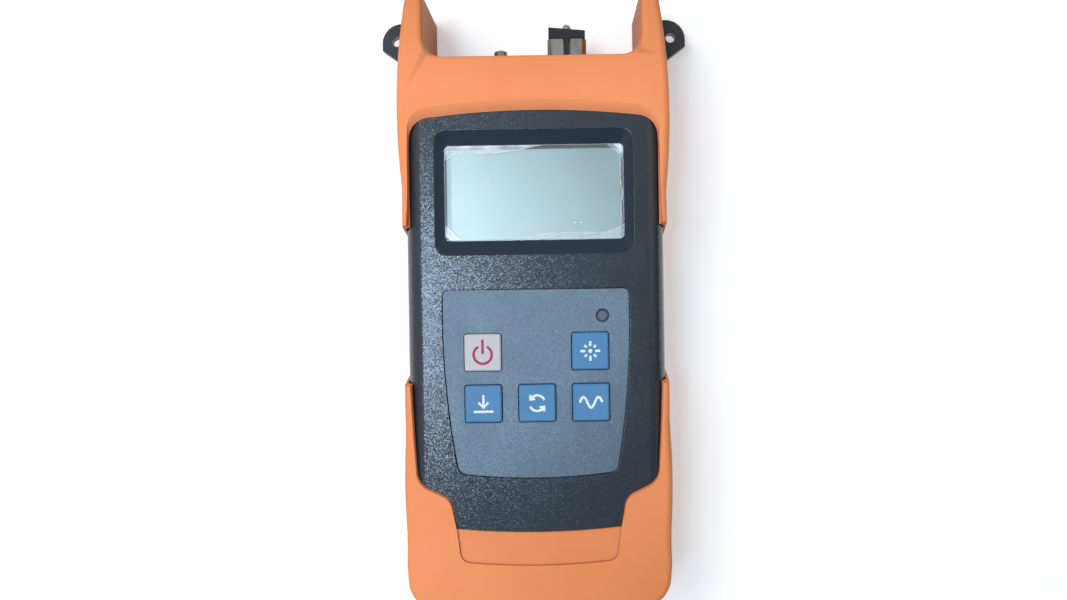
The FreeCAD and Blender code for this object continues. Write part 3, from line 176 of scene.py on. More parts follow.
class DisplaySettings(bpy.types.PropertyGroup):
    # Painted light: the glass's colour at its brightest and dimmest corners.
    bright: colour("Bright side", "Display glass at its bright corner", 181, 203, 208)
    dim: colour("Dim side", "Display glass at its dim corner", 125, 147, 148)
    # Also the colour of the painted shadow of the window's edge along the top.
    border: colour("Border", "Dark border of the display glass", 40, 50, 60)
    film: colour("Film", "Creased parts of the protective film", 226, 240, 242)
    crease_width: length("Crease width", "Half width of a crease in the film", 0.16 * MM)
    crease_rise: length("Crease rise", "Height of a crease over the film", 0.05 * MM)
    lift: length("Lift", "How far the loose corner of the film stands up", 0.5 * MM)
    corner: length("Corner", "Rounded corners of the film", 1.3 * MM)
    lens_edge: length("Lens edge", "Rounding of the lens's upper edges", 0.08 * MM)
    frame_line: length("Frame line", "Pale line along the film's edge", 0.2 * MM)


class KeypadSettings(bpy.types.PropertyGroup):
    sheet: colour("Overlay", "Colour of the keypad overlay", 105, 128, 149)
    blue: colour("Blue keys", "Colour of the four blue keys", 83, 139, 186)
    white: colour("White key", "Colour of the power key", 200, 200, 206)
    mark: colour("Power mark", "Colour of the mark on the power key", 176, 52, 84)
    ink: colour("Key marks", "Colour of the marks on the blue keys", 240, 246, 250)
    ring: colour("Indicator ring", "Colour of the ring round the light", 44, 50, 60)
    stroke: length("Stroke", "Width of the lines of the key marks", 0.66 * MM)
    print_height: length("Print height", "How far the printed marks stand up", 0.04 * MM)


class PortSettings(bpy.types.PropertyGroup):
    nickel: colour("Nickel", "Colour of the plated port parts", 196, 192, 176)
    cap: colour("Cap", "Colour of the dust cap", 36, 36, 42)
    stud_shank: length("Stud shank", "Radius of the shank of the cap's stud", 0.7 * MM)
    stud_ball: length("Stud ball", "Radius of the ball on the cap's stud", 1.35 * MM)
    stud_rise: length("Stud rise", "How far the ball tops the packed stud", 1.7 * MM)


class StageSettings(bpy.types.PropertyGroup):
    camera_side: length("Camera side", "Camera, to the right of the middle", 7.7 * MM)
    camera_rise: length("Camera rise", "Camera above the front face", 250.0 * MM)
    lens: FloatProperty(name="Lens", description="Focal length", unit="CAMERA", default=29.94)
    turn: FloatProperty(
        name="Turn", description="Roll of the camera", unit="ROTATION", default=math.radians(-0.9)
    )
    shift: FloatProperty(name="Shift", description="Sideways shift of the lens", default=-0.0276)
    sky: FloatProperty(name="Sky", description="Even light from all round", default=0.4)


# Shader nodes.

def wire(tree, node, inputs):
    """Links or sets a node's inputs."""
    for key, value in inputs.items():
        if isinstance(value, bpy.types.NodeSocket):
            tree.links.new(value, node.inputs[key])
        else:
            node.inputs[key].default_value = value


def put(tree, kind, inputs=None, **settings):
    """A shader node with its inputs linked or set."""
    made = tree.nodes.new("ShaderNode" + kind)
    for key, value in settings.items():
        setattr(made, key, value)
    wire(tree, made, inputs or {})
    return made


def maths(tree, operation, first, second=0.0, third=0.0, clamp=False):
    """The result of a Math node."""
    made = put(tree, "Math", {0: first, 1: second, 2: third}, operation=operation)
    made.use_clamp = clamp
    return made.outputs[0]


def vector_maths(tree, operation, first, second=(0.0, 0.0, 0.0)):
    """The result of a Vector Math node. Its second value is a number where it scales."""
    key = "Scale" if operation == "SCALE" else 1
    return put(tree, "VectorMath", {0: first, key: second}, operation=operation).outputs[0]


def mixed(tree, factor, *colours):
    """Two colours mixed."""
    made = put(tree, "Mix", {0: factor}, data_type="RGBA")
    for index, value in enumerate(colours, 6):
        linked = isinstance(value, bpy.types.NodeSocket)
        wire(tree, made, {index: value if linked else (*value[:3], 1.0)})
    return made.outputs[2]


def ramp(tree, value, low, high, to_low=0.0, to_high=1.0):
    """A value stretched from one range to another, held at its ends."""
    inputs = {0: value, 1: low, 2: high, 3: to_low, 4: to_high}
    return put(tree, "MapRange", inputs).outputs[0]


def axes(tree, kind="Object"):
    """The coordinates across, along and up, the piece's own unless another kind is named."""
    place = put(tree, "TexCoord").outputs[kind]
    return put(tree, "SeparateXYZ", {0: place}).outputs


def object_point(tree, size):
    """The piece's own coordinates, counted in steps of the given size."""
    place = put(tree, "TexCoord").outputs["Object"]
    return vector_maths(tree, "SCALE", place, maths(tree, "DIVIDE", 1.0, size))


def moulded_grain(group, size):
    """Fine spark-eroded grain of a mould."""
    point = object_point(group, size)
    fine = put(group, "TexNoise", {"Vector": point, "Scale": 1.0, "Detail": 2.0})
    inputs = {"Vector": point, "Scale": 0.8, "Smoothness": 0.6}
    pits = put(group, "TexVoronoi", inputs, feature="SMOOTH_F1")
    return {"Height": maths(group, "ADD", fine.outputs[0], pits.outputs["Distance"])}


def glinting_grain(group, size, lean):
    """Grain whose tiny faces each lean their own way, so that some catch the light."""
    point = object_point(group, size)
    cells = put(group, "TexVoronoi", {"Vector": point, "Scale": 1.0}).outputs["Color"]
    around = vector_maths(group, "SUBTRACT", cells, (0.5, 0.5, 0.5))
    facing = put(group, "NewGeometry").outputs["Normal"]
    leaning = vector_maths(group, "ADD", facing, vector_maths(group, "SCALE", around, lean))
    tone = put(group, "SeparateColor", {0: cells})
    return {"Normal": vector_maths(group, "NORMALIZE", leaning), "Tone": tone.outputs[0]}


def handling_marks(group, patch):
    """Broad smudges from hands, and a thin scatter of dust."""
    point = object_point(group, patch)
    broad = put(group, "TexNoise", {"Vector": point, "Scale": 1.0, "Detail": 4.0})
    grit = put(group, "TexVoronoi", {"Vector": point, "Scale": 9.0})
    dust = ramp(group, grit.outputs["Distance"], 0.07, 0.03)
    return {"Smudge": ramp(group, broad.outputs[0], 0.35, 0.7), "Dust": dust}


def brushed_lines(group, size):
    """Fine lines left by a cutting tool along the length of a metal part."""
    point = object_point(group, size)
    drawn = put(group, "Mapping", {"Vector": point, "Scale": (1.0, 0.04, 1.0)})
    lines = put(group, "TexNoise", {"Vector": drawn.outputs[0], "Scale": 1.0})
    return {"Height": lines.outputs[0], "Streak": ramp(group, lines.outputs[0], 0.3, 0.7)}


def shared(tree, maker, **values):
    """What a node group gives for some values; its maker builds it the first time."""
    name = maker.__name__.replace("_", " ").capitalize()
    group = bpy.data.node_groups.get(name)
    if group is None:
        group = bpy.data.node_groups.new(name, "ShaderNodeTree")
        for socket in values:
            group.interface.new_socket(socket, in_out="INPUT", socket_type="NodeSocketFloat")
        start = group.nodes.new("NodeGroupInput")
        results = maker(group, **{socket: start.outputs[socket] for socket in values})
        for socket, result in results.items():
            kind = "NodeSocketVector" if result.type == "VECTOR" else "NodeSocketFloat"
            group.interface.new_socket(socket, in_out="OUTPUT", socket_type=kind)
        wire(group, group.nodes.new("NodeGroupOutput"), results)
    return put(tree, "Group", values, node_tree=group).outputs


def hand_marks(tree, patch):
    """The smudges and the dust on a surface."""
    return shared(tree, handling_marks, patch=patch)


def painted(tree, layer):
    """What a layer of the mesh says."""
    made = put(tree, "Attribute", attribute_name=layer, attribute_type="GEOMETRY")
    return made.outputs["Fac"]


def feed(material, **values):
    """The material, with its shader's inputs linked or set."""
    tree = material.node_tree
    inputs = {key.replace("_", " "): value for key, value in values.items()}
    wire(tree, tree.nodes["Principled BSDF"], inputs)
    return material


def new_material(name, specular=0.5, **constants):
    """A node material with the given constants, and its tree."""
    material = bpy.data.materials.new(name)
    material.use_nodes = True
    return feed(material, Specular_IOR_Level=specular, **constants), material.node_tree


def bump(tree, height, distance):
    """A Bump node's normal for a height."""
    inputs = {"Height": height, "Distance": distance, "Strength": 1.0}
    return put(tree, "Bump", inputs).outputs[0]


def grained(tree, size, depth):
    """The normal of a moulded surface, with the size and depth of its grain."""
    return bump(tree, shared(tree, moulded_grain, size=size)["Height"], depth)


# Finishes.

def rubber_finish(name):
    """Matt moulded rubber with faint smudges, with painted shade in its hollows and towards the
    horns and the lower right heel.
    """
    settings = bpy.context.scene.meter_boot
    material, tree = new_material(name, specular=0.45)
    smudge, _ = hand_marks(tree, 22 * MM)
    tint = maths(tree, "MULTIPLY", smudge, 0.35)
    base = mixed(tree, tint, settings.rubber, settings.deep_rubber)
    across, along, _ = axes(tree)
    # Painted shade: darker towards the horns and the lower right heel.
    horns = ramp(tree, along, 60 * MM, 84 * MM, 0.0, 0.65)
    heel = ramp(tree, along, -30 * MM, -80 * MM)
    heel = maths(tree, "MULTIPLY", heel, ramp(tree, across, -30 * MM, 36 * MM, 0.0, 0.75))
    base = mixed(tree, maths(tree, "MAXIMUM", horns, heel), base, settings.worn_rubber)
    # Painted shade in the hollows, read from a layer of the mesh.
    base = mixed(tree, painted(tree, "hollow"), base, settings.dark_rubber)
    rough = maths(tree, "MULTIPLY_ADD", smudge, 0.1, settings.roughness)
    normal = grained(tree, 0.45 * MM, 0.012 * MM)
    return feed(material, Base_Color=base, Roughness=rough, Normal=normal)


def grained_plastic(name):
    """Dark moulded plastic with a glinting grain, and a few specks of dust."""
    settings = bpy.context.scene.meter_casing
    material, tree = new_material(name, specular=0.8)
    grain = shared(tree, glinting_grain, size=settings.grain, lean=settings.lean)
    smudge, dust = hand_marks(tree, 16 * MM)
    tone = maths(tree, "MULTIPLY", grain["Tone"], 0.05)
    base = mixed(tree, tone, settings.plastic, shade(120, 128, 142))
    base = mixed(tree, maths(tree, "MULTIPLY", dust, 0.25), base, shade(150, 152, 156))
    rough = maths(tree, "MULTIPLY_ADD", smudge, 0.05, settings.roughness)
    return feed(material, Base_Color=base, Roughness=rough, Normal=grain["Normal"])


def smooth_plastic():
    """The same plastic where the mould was polished."""
    settings = bpy.context.scene.meter_casing
    material, tree = new_material("Smooth plastic", specular=0.2)
    smudge, dust = hand_marks(tree, 9 * MM)
    dust = maths(tree, "MULTIPLY", dust, 0.4)
    base = mixed(tree, dust, settings.smooth_plastic, shade(130, 134, 140))
    rough = maths(tree, "MULTIPLY_ADD", smudge, 0.08, 0.24)
    return feed(material, Base_Color=base, Roughness=rough)


def sheet_finish(name):
    """Textured plastic sheet of the keypad, with a fine glint in its grain."""
    settings = bpy.context.scene.meter_keypad
    material, tree = new_material(name)
    grain = shared(tree, glinting_grain, size=0.34 * MM, lean=0.2)
    smudge, _ = hand_marks(tree, 14 * MM)
    specks = ramp(tree, grain["Tone"], 0.72, 1.0, 0.0, 0.4)
    base = mixed(tree, specks, settings.sheet, shade(170, 190, 204))
    # Painted shade: the sheet darkens towards the lower right, added to the smudges.
    across, along, _ = axes(tree)
    low = maths(tree, "MULTIPLY_ADD", across, -0.8, along)
    lower_right_shade = ramp(tree, low, -30 * MM, -80 * MM, 0.0, 0.85)
    toned = maths(tree, "MULTIPLY_ADD", smudge, 0.18, lower_right_shade, clamp=True)
    base = mixed(tree, toned, base, shade(78, 94, 108))
    rough = maths(tree, "MULTIPLY_ADD", smudge, 0.06, 0.34)
    return feed(material, Base_Color=base, Roughness=rough, Normal=grain["Normal"])


def patchy_finish(name, colours, specular, patch, wear, rough, grain=None):
    """A colour worn to another in patches, over a moulded grain if one is given."""
    material, tree = new_material(name, specular)
    smudge, _ = hand_marks(tree, patch)
    base = mixed(tree, maths(tree, "MULTIPLY", smudge, wear), *colours)
    if grain:
        feed(material, Normal=grained(tree, *grain))
    rough = maths(tree, "MULTIPLY_ADD", smudge, *rough)
    return feed(material, Base_Color=base, Roughness=rough)


def silicone_finish(name, base, toned):
    """Moulded silicone of a key, slightly worn in patches."""
    grain = (0.5 * MM, 0.008 * MM)
    return patchy_finish(
        name, (base, toned), specular=0.4, patch=6 * MM, wear=0.3, rough=(0.12, 0.42), grain=grain
    )


def ink_finish(name, base):
    """Printed ink with a slightly uneven tone."""
    colours = base, shade(150, 160, 170)
    return patchy_finish(name, colours, specular=0.3, patch=3 * MM, wear=0.12, rough=(0.1, 0.5))


def plastic_finish(name, base, roughness=0.4):
    """Plain moulded plastic with a light grain and a few smudges."""
    lighter = [min(1.0, part * 1.25 + 0.01) for part in base]
    grain = (0.4 * MM, 0.012 * MM)
    rough = (0.1, roughness)
    return patchy_finish(
        name, (base, lighter), specular=0.5, patch=8 * MM, wear=0.5, rough=rough, grain=grain
    )


def metal_finish(name, base, tarnish):
    """Turned metal with fine lines and a little tarnish."""
    material, tree = new_material(name, Metallic=1.0)
    height, streak = shared(tree, brushed_lines, size=0.25 * MM)
    smudge, _ = hand_marks(tree, 4 * MM)
    base = mixed(tree, maths(tree, "MULTIPLY", smudge, 0.5), base, tarnish)
    rough = maths(tree, "MULTIPLY_ADD", streak, 0.12, 0.26)
    normal = bump(tree, height, 0.01 * MM)
    return feed(material, Base_Color=base, Roughness=rough, Normal=normal)


def clear_finish(name):
    """Clear acrylic that lets the light through to the display below it."""
    material, tree = new_material(
        name,
        Base_Color=(0.97, 0.985, 0.98, 1.0),
        Transmission_Weight=1.0,
        IOR=1.49,
        Roughness=0.03,
    )
    rays = put(tree, "LightPath").outputs
    solid = maths(tree, "MULTIPLY_ADD", rays["Is Shadow Ray"], -0.96, 1.0)
    return feed(material, Alpha=solid)


def liquid_crystal_finish(name):
    """The unlit display: pale grey-green with painted light brighter towards one corner, with its
    dark border at the sides and a painted shadow of the window's edge along the top.
    """
    settings = bpy.context.scene.meter_display
    material, tree = new_material(name)
    across, along, _ = axes(tree)
    # Painted light: brighter towards the lower left, dimmer towards the upper right.
    rise = maths(tree, "SUBTRACT", along, FILM_MIDDLE.y)
    slant = maths(tree, "MULTIPLY_ADD", rise, 0.65, across)
    painted_light_slope = ramp(tree, slant, -26 * MM, 24 * MM)
    base = mixed(tree, painted_light_slope, settings.bright, settings.dim)
    margin = ramp(tree, across, FILM_LOW.x + 1.7 * MM, FILM_LOW.x + 2.0 * MM, 0.45, 0.0)
    base = mixed(tree, margin, base, shade(120, 140, 148))
    left = ramp(tree, across, FILM_LOW.x + 0.4 * MM, FILM_LOW.x + 0.5 * MM, 1.0, 0.0)
    right = ramp(tree, across, FILM_HIGH.x - 0.8 * MM, FILM_HIGH.x - 0.7 * MM)
    # Along the top this is a painted shadow of the window's edge; at the sides it is the glass's
    # own dark border.
    top = ramp(tree, along, FILM_HIGH.y - 1.1 * MM, FILM_HIGH.y - 0.9 * MM)
    border = maths(tree, "MAXIMUM", maths(tree, "MAXIMUM", left, right), top)
    base = mixed(tree, border, base, settings.border)
    smudge, _ = hand_marks(tree, 10 * MM)
    rough = maths(tree, "MULTIPLY_ADD", smudge, 0.02, 0.3)
    return feed(material, Base_Color=base, Roughness=rough)


def film_finish(name):
    """Thin clear film, white where it is creased or stands loose."""
    settings = bpy.context.scene.meter_display
    material, tree = new_material(name, specular=0.6)
    smudge, _ = hand_marks(tree, 5 * MM)
    uneven = ramp(tree, smudge, 0.0, 1.0, 0.75, 1.0)
    cover = maths(tree, "MULTIPLY", painted(tree, "whitening"), uneven)
    cover = maths(tree, "ADD", cover, 0.025, clamp=True)
    base = mixed(tree, cover, settings.film, shade(252, 255, 255))
    rays = put(tree, "LightPath").outputs
    lit = maths(tree, "SUBTRACT", 1.0, rays["Is Shadow Ray"])
    cover = maths(tree, "MULTIPLY", cover, lit)
    rough = maths(tree, "MULTIPLY_ADD", smudge, 0.15, 0.18)
    return feed(material, Base_Color=base, Roughness=rough, Alpha=cover)


def laminate_finish(name):
    """Green circuit board with a faint weave and pale print."""
    material, tree = new_material(name)
    inputs = {
        "Vector": put(tree, "TexCoord").outputs["Object"],
        "Color1": (*shade(28, 96, 62), 1.0),
        "Color2": (*shade(24, 84, 56), 1.0),
        "Mortar": (*shade(62, 130, 84), 1.0),
        "Scale": 160.0,
        "Mortar Size": 0.05,
    }
    tracks = put(tree, "TexBrick", inputs).outputs["Color"]
    smudge, _ = hand_marks(tree, 9 * MM)
    rough = maths(tree, "MULTIPLY_ADD", smudge, 0.12, 0.3)
    normal = grained(tree, 0.4 * MM, 0.01 * MM)
    return feed(material, Base_Color=tracks, Roughness=rough, Normal=normal)


def battery_finish(name):
    """Printed jacket of the cells: dark, then coppery and bare metal towards the ports."""
    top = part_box("middle_battery")[1].y
    material, tree = new_material(name, specular=0.6)
    along = axes(tree)[1]
    band = ramp(tree, along, top - 15.4 * MM, top - 15.2 * MM)
    end = ramp(tree, along, top - 1.6 * MM, top - 1.5 * MM)
    base = mixed(tree, band, shade(34, 36, 42), shade(178, 120, 62))
    base = mixed(tree, end, base, shade(180, 180, 176))
    smudge, _ = hand_marks(tree, 7 * MM)
    rough = maths(tree, "MULTIPLY_ADD", smudge, 0.15, 0.28)
    return feed(material, Base_Color=base, Roughness=rough, Metallic=end)


FINISHES = {
    "boot_rubber": rubber_finish,
    "casing_plastic": grained_plastic,
    "battery_jacket": battery_finish,
    "spring_steel": lambda name: metal_finish(name, shade(196, 196, 192), shade(150, 146, 138)),
    "nickel": lambda name: metal_finish(
        name, bpy.context.scene.meter_ports.nickel, shade(150, 132, 104)
    ),
    "clear_lens": clear_finish,
    "clear_film": film_finish,
    "display_glass": liquid_crystal_finish,
    "white_plastic": lambda name: plastic_finish(name, shade(226, 226, 220)),
    "contact_rubber": lambda name: plastic_finish(name, shade(70, 70, 74), 0.6),
    "overlay_sheet": sheet_finish,
    "blue_key": lambda name: silicone_finish(
        name, bpy.context.scene.meter_keypad.blue, shade(76, 130, 178)
    ),
    "white_key": lambda name: silicone_finish(
        name, bpy.context.scene.meter_keypad.white, shade(202, 210, 210)
    ),
    "light_pipe": lambda name: plastic_finish(name, shade(88, 102, 116), 0.25),
    "board_laminate": laminate_finish,
    "chip_resin": lambda name: plastic_finish(name, shade(40, 40, 42), 0.45),
    "brass_can": lambda name: metal_finish(name, shade(214, 178, 104), shade(160, 120, 66)),
    "black_plastic": lambda name: plastic_finish(name, bpy.context.scene.meter_ports.cap, 0.42),
    "screw_steel": lambda name: metal_finish(name, shade(150, 150, 148), shade(96, 92, 86)),
}


def finish(slot):
    """The finish of a material slot, made the first time it is asked for."""
    name = "finish " + slot
    return bpy.data.materials.get(name) or FINISHES[slot](name)


# Pieces.

def merged_copy(node):
    """A CAD node's shape with its triangles joined, ready to be edited."""
    shape = bmesh.new()
    shape.from_mesh(NODES[node].data)
    bmesh.ops.remove_doubles(shape, verts=shape.verts, dist=WELD)
    bmesh.ops.dissolve_limit(
        shape, angle_limit=math.radians(0.2), verts=shape.verts, edges=shape.edges
    )
    return shape


def soften(shape, level, width, segments=3, inside=None, least=50.0):
    """Rounds the sharp edges that lie at a height, and inside a region if one is given."""
    found = []
    for edge in shape.edges:
        at_level = all(abs(end.co.z - level) < TOUCH for end in edge.verts)
        if at_level and len(edge.link_faces) == 2 and (not inside or inside(edge.verts[0].co)):
            if edge.calc_face_angle() > math.radians(least):
                found.append(edge)
    if not found:
        raise RuntimeError(f"no edge to round at {level / MM:.2f} mm")
    bmesh.ops.bevel(
        shape,
        geom=found,
        offset=width,
        offset_type="OFFSET",
        segments=segments,
        profile=0.5,
        affect="EDGES",
        clamp_overlap=True,
        material=-1,
    )


def finished_piece(name, shape, node, material=None, replaces=True, crease=32.0):
    """A piece made from a shape, with the body and slot of the CAD node that it may replace."""
    body, slot = BODIES[node], SLOTS[node]
    mesh = bpy.data.meshes.new(name)
    shape.to_mesh(mesh)
    shape.free()
    if mesh.has_custom_normals:
        mesh.attributes.remove(mesh.attributes["custom_normal"])
    mesh.shade_smooth()
    mesh.set_sharp_from_angle(angle=math.radians(crease))
    mesh.materials.clear()
    mesh.materials.append(material or finish(slot))
    piece = new_object(name, mesh)
    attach(piece, body)
    if replaces:
        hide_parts(node)
    return piece


def new_object(name, data):
    """An object in the scene."""
    made = bpy.data.objects.new(name, data)
    bpy.context.scene.collection.objects.link(made)
    return made


def flatten_normals(piece):
    """Keeps flat faces flat beside their rounded edges."""
    weighted = piece.modifiers.new("Flat faces", "WEIGHTED_NORMAL")
    weighted.keep_sharp = True


def box_region(node, margin):
    """A test for points inside a node's box with a margin, seen from the front."""
    low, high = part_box(node)
    return lambda point: (
        low.x - margin < point.x < high.x + margin and low.y - margin < point.y < high.y + margin
    )


def curve_mesh(curve):
    """The mesh that a curve draws."""
    drawn = bpy.data.objects.new(curve.name, curve)
    mesh = bpy.data.meshes.new_from_object(drawn)
    bpy.data.objects.remove(drawn)
    return mesh


def turned(outline, axis, closed=False):
    """A shape turned round an axis through the middle from its outline."""
    shape = bmesh.new()
    verts = [shape.verts.new(point) for point in outline]
    for ends in zip(verts, verts[1:] + verts[: int(closed)]):
        shape.edges.new(ends)
    bmesh.ops.spin(
        shape,
        geom=shape.verts[:] + shape.edges[:],
        cent=(0, 0, 0),
        axis=axis,
        angle=2 * math.pi,
        steps=64,
        use_merge=True,
    )
    bmesh.ops.remove_doubles(shape, verts=shape.verts, dist=WELD)
    bmesh.ops.recalc_face_normals(shape, faces=shape.faces)
    return shape


def arc(radius, start, end, steps=32, middle=(0.0, 0.0)):
    """Points along an arc, its angles in degrees from the right."""
    angles = [math.radians(start + (end - start) * step / steps) for step in range(steps + 1)]
    return [
        (middle[0] + radius * math.cos(angle), middle[1] + radius * math.sin(angle))
        for angle in angles
    ]


class METER_OT_boot(bpy.types.Operator):
    """Make the rubber boot with its rounded lip, crowned flanks and painted shade in its hollows"""

    bl_idname = "meter.boot"
    bl_label = "Rubber Boot"

    def execute(self, context):
        settings = context.scene.meter_boot
        shape = merged_copy("protective_boot")
        for level in (LIP_FOOT, BOOT_FRONT):
            soften(shape, level, settings.lip, segments=4, least=12.0)
        self.crown_flanks(shape, settings)
        self.darken_hollows(shape, settings)
        flatten_normals(finished_piece("rubber_boot", shape, "protective_boot"))
        return {"FINISHED"}

    def crown_flanks(self, shape, settings):
        """Draws the flanks in towards the front, as far as the casing inside leaves room."""
        front = BOOT_FRONT - settings.rim
        line = sorted(
            (vertex.co.y, abs(vertex.co.x))
            for vertex in shape.verts
            if abs(vertex.co.z - front) < TOUCH and any(outward(face) for face in vertex.link_faces)
        )
        along = [place[0] for place in line]
        across = [place[1] for place in line]
        for row in range(1, FLANK_ROWS):
            level = BOOT_MIDDLE + (front - BOOT_MIDDLE) * row / FLANK_ROWS
            sides = [face for face in shape.faces if outward(face)]
            edges = {edge for face in sides for edge in face.edges}
            corners = {corner for face in sides for corner in face.verts}
            bmesh.ops.bisect_plane(
                shape,
                geom=[*sides, *edges, *corners],
                dist=0.001 * MM,
                plane_co=(0, 0, level),
                plane_no=(0, 0, 1),
            )
        lands = [face for face in shape.faces if face.normal.z > 0.99 and len(face.verts) > 4]
        bmesh.ops.triangulate(shape, faces=lands)
        for vertex in shape.verts:
            x, y, z = vertex.co
            rise = (z - BOOT_MIDDLE) / (BOOT_FRONT - BOOT_MIDDLE)
            if rise <= 0:
                continue
            flank = float(numpy.interp(y, along, across))
            room = eased((flank - CASE_SIDE - settings.cover) / THIN_RUBBER)
            inner = CASE_SIDE + CASE_GAP if z < LIP_FOOT + TOUCH else CASE_SIDE - LIP_WIDTH
            width = max(LEAST_WIDTH, flank - EDGE_WIDTH - inner)
            if y > GAP_FLOOR - 0.5 * MM:
                room = 1.0
                inner = GAP_SIDE + HORN_CORE
                width = HORN_WIDTH
            reach = eased((abs(x) - inner) / width)
            vertex.co.x -= math.copysign(settings.crown * room * rise**2 * reach, x)

    def darken_hollows(self, shape, settings):
        """Paints shade into the hollows for the rubber's finish: the horns' gap, darker deeper
        down, the line round the tongue and the lip's foot, with a faint darker tone on the tongue.
        """
        hollow = shape.verts.layers.float.new("hollow")
        level = BOOT_FRONT - settings.tongue_depth
        for vertex in shape.verts:
            x, y, z = vertex.co
            if y > GAP_FLOOR - 0.05 * MM and abs(x) < GAP_SIDE + 0.05 * MM:
                vertex[hollow] = GAP_SHADE - 0.3 * z / BOOT_FRONT
            elif abs(z - level) < TOUCH:
                vertex[hollow] = LINE_SHADE
            elif z < LIP_FOOT + settings.lip and abs(x) < CASE_SIDE and z > BOOT_MIDDLE:
                vertex[hollow] = LIP_SHADE
        tongue = [
            face
            for face in shape.faces
            if all(abs(corner.co.z - level) < TOUCH for corner in face.verts)
        ]
        if not tongue:
            raise RuntimeError("the boot has no tongue")
        bmesh.ops.inset_region(shape, faces=tongue, thickness=settings.shadow)
        for face in tongue:
            for corner in face.verts:
                corner[hollow] = TONGUE_DARK


def outward(face):
    """Whether a face of the boot is part of its outer flanks."""
    middle = face.calc_center_median()
    return abs(middle.x) > GAP_SIDE + 0.5 * MM and face.normal.x * middle.x > 0.2 * abs(middle.x)


def eased(part):
    """A share of a step, with soft ends."""
    part = min(1.0, max(0.0, part))
    return part * part * (3 - 2 * part)


class METER_OT_casing(bpy.types.Operator):
    """Make the front shell with its softened bezel and keypad recess"""

    bl_idname = "meter.casing"
    bl_label = "Casing"

    def execute(self, context):
        settings = context.scene.meter_casing
        shape = merged_copy("front_shell")
        recess = box_region("keypad_overlay", 1.0 * MM)
        soften(shape, CASE_FRONT, settings.recess_edge, 2, recess)
        window = box_region("display_lens", 3.0 * MM)
        soften(shape, CASE_FRONT, settings.bezel_edge, 4, window, least=12.0)
        shell = finished_piece("front_casing", shape, "front_shell")
        shell.data.materials.append(smooth_plastic())
        for face in shell.data.polygons:
            sunk = face.center.z < CASE_FRONT - 0.1 * MM
            face.material_index = int(window(face.center) and sunk)
        flatten_normals(shell)
        return {"FINISHED"}


def knots(left, foot, *steps):
    """Places at given distances from a point, in millimetres."""
    return [(left + across * MM, foot + along * MM) for across, along in steps]


def film_creases():
    """The creases of the film as smooth paths, and the sides that stand loose."""
    left, lower = FILM_LOW.x, FILM_LOW.y
    right, upper = FILM_HIGH.x, FILM_HIGH.y
    top = knots(left, upper, (0, -4.1), (4.6, -1.9), (12, -2.2), (20, -1.5), (26, -0.3))
    foot = knots(right, lower, (-28.5, 0), (-23, 1.3), (-13, 1.8), (-5, 1.9), (0, 3.8))
    corner = knots(left, lower, (0, 4.2), (2, 2.6), (4.4, 0))
    side = knots(right, upper, (-0.7, -3.2), (-0.8, -11), (-0.4, -14), (-0.75, -17))
    side += knots(right, lower, (-0.7, 3.8))
    return [
        Crease(top, FILM_HIGH.y, 0.22, 0.6),
        Crease(foot, FILM_LOW.y, 0.14, 0.25),
        Crease(corner, FILM_LOW.y, 0.3, 0.75),
        Crease(side, None, 0.0, 0.0),
    ]


class Crease:
    """A crease line, and the loose strip between it and one edge of the film."""

    def __init__(self, places, edge, near, far):
        path = smooth_path(places)
        self.tree = KDTree(len(path))
        for index, point in enumerate(path):
            self.tree.insert(point, index)
        self.tree.balance()
        self.edge = edge
        self.near = near
        self.far = far

    def ridge(self, place, width):
        """How much of the crease's ridge reaches a place, from nought to one."""
        apart = self.tree.find(place)[2]
        return math.exp(-((apart / width) ** 2))

    def strip(self, place):
        """Whiteness of the loose strip at a place."""
        if self.edge is None:
            return 0.0
        nearest = self.tree.find(place)[0]
        whole = self.edge - nearest.y
        part = (place.y - nearest.y) / whole if whole else 0.0
        if part <= 0 or abs(place.x - nearest.x) > 1.5 * MM:
            return 0.0
        return self.near + (self.far - self.near) * min(1.0, part)


def smooth_path(places):
    """Points along a smooth line through the places."""
    curve = bpy.data.curves.new("path", "CURVE")
    curve.dimensions = "3D"
    spline = curve.splines.new("BEZIER")
    spline.bezier_points.add(len(places) - 1)
    for point, (x, y) in zip(spline.bezier_points, places):
        point.co = (x, y, 0.0)
        point.handle_left_type = "AUTO"
        point.handle_right_type = "AUTO"
    curve.resolution_u = 24
    mesh = curve_mesh(curve)
    points = [vertex.co.copy() for vertex in mesh.vertices]
    bpy.data.meshes.remove(mesh)
    return points


def round_corner(place, corner):
    """A place of the square-cornered film, moved so that the film's corners are rounded."""
    half = (FILM_HIGH - FILM_LOW) / 2
    away = place - FILM_MIDDLE
    across = (abs(away.x) - half.x) / corner + 1.0
    along = (abs(away.y) - half.y) / corner + 1.0
    if across <= 0 or along <= 0:
        return
    reach = half.x + corner * (across * math.sqrt(1 - along**2 / 2) - 1)
    rise = half.y + corner * (along * math.sqrt(1 - across**2 / 2) - 1)
    place.x = FILM_MIDDLE.x + math.copysign(reach, away.x)
    place.y = FILM_MIDDLE.y + math.copysign(rise, away.y)


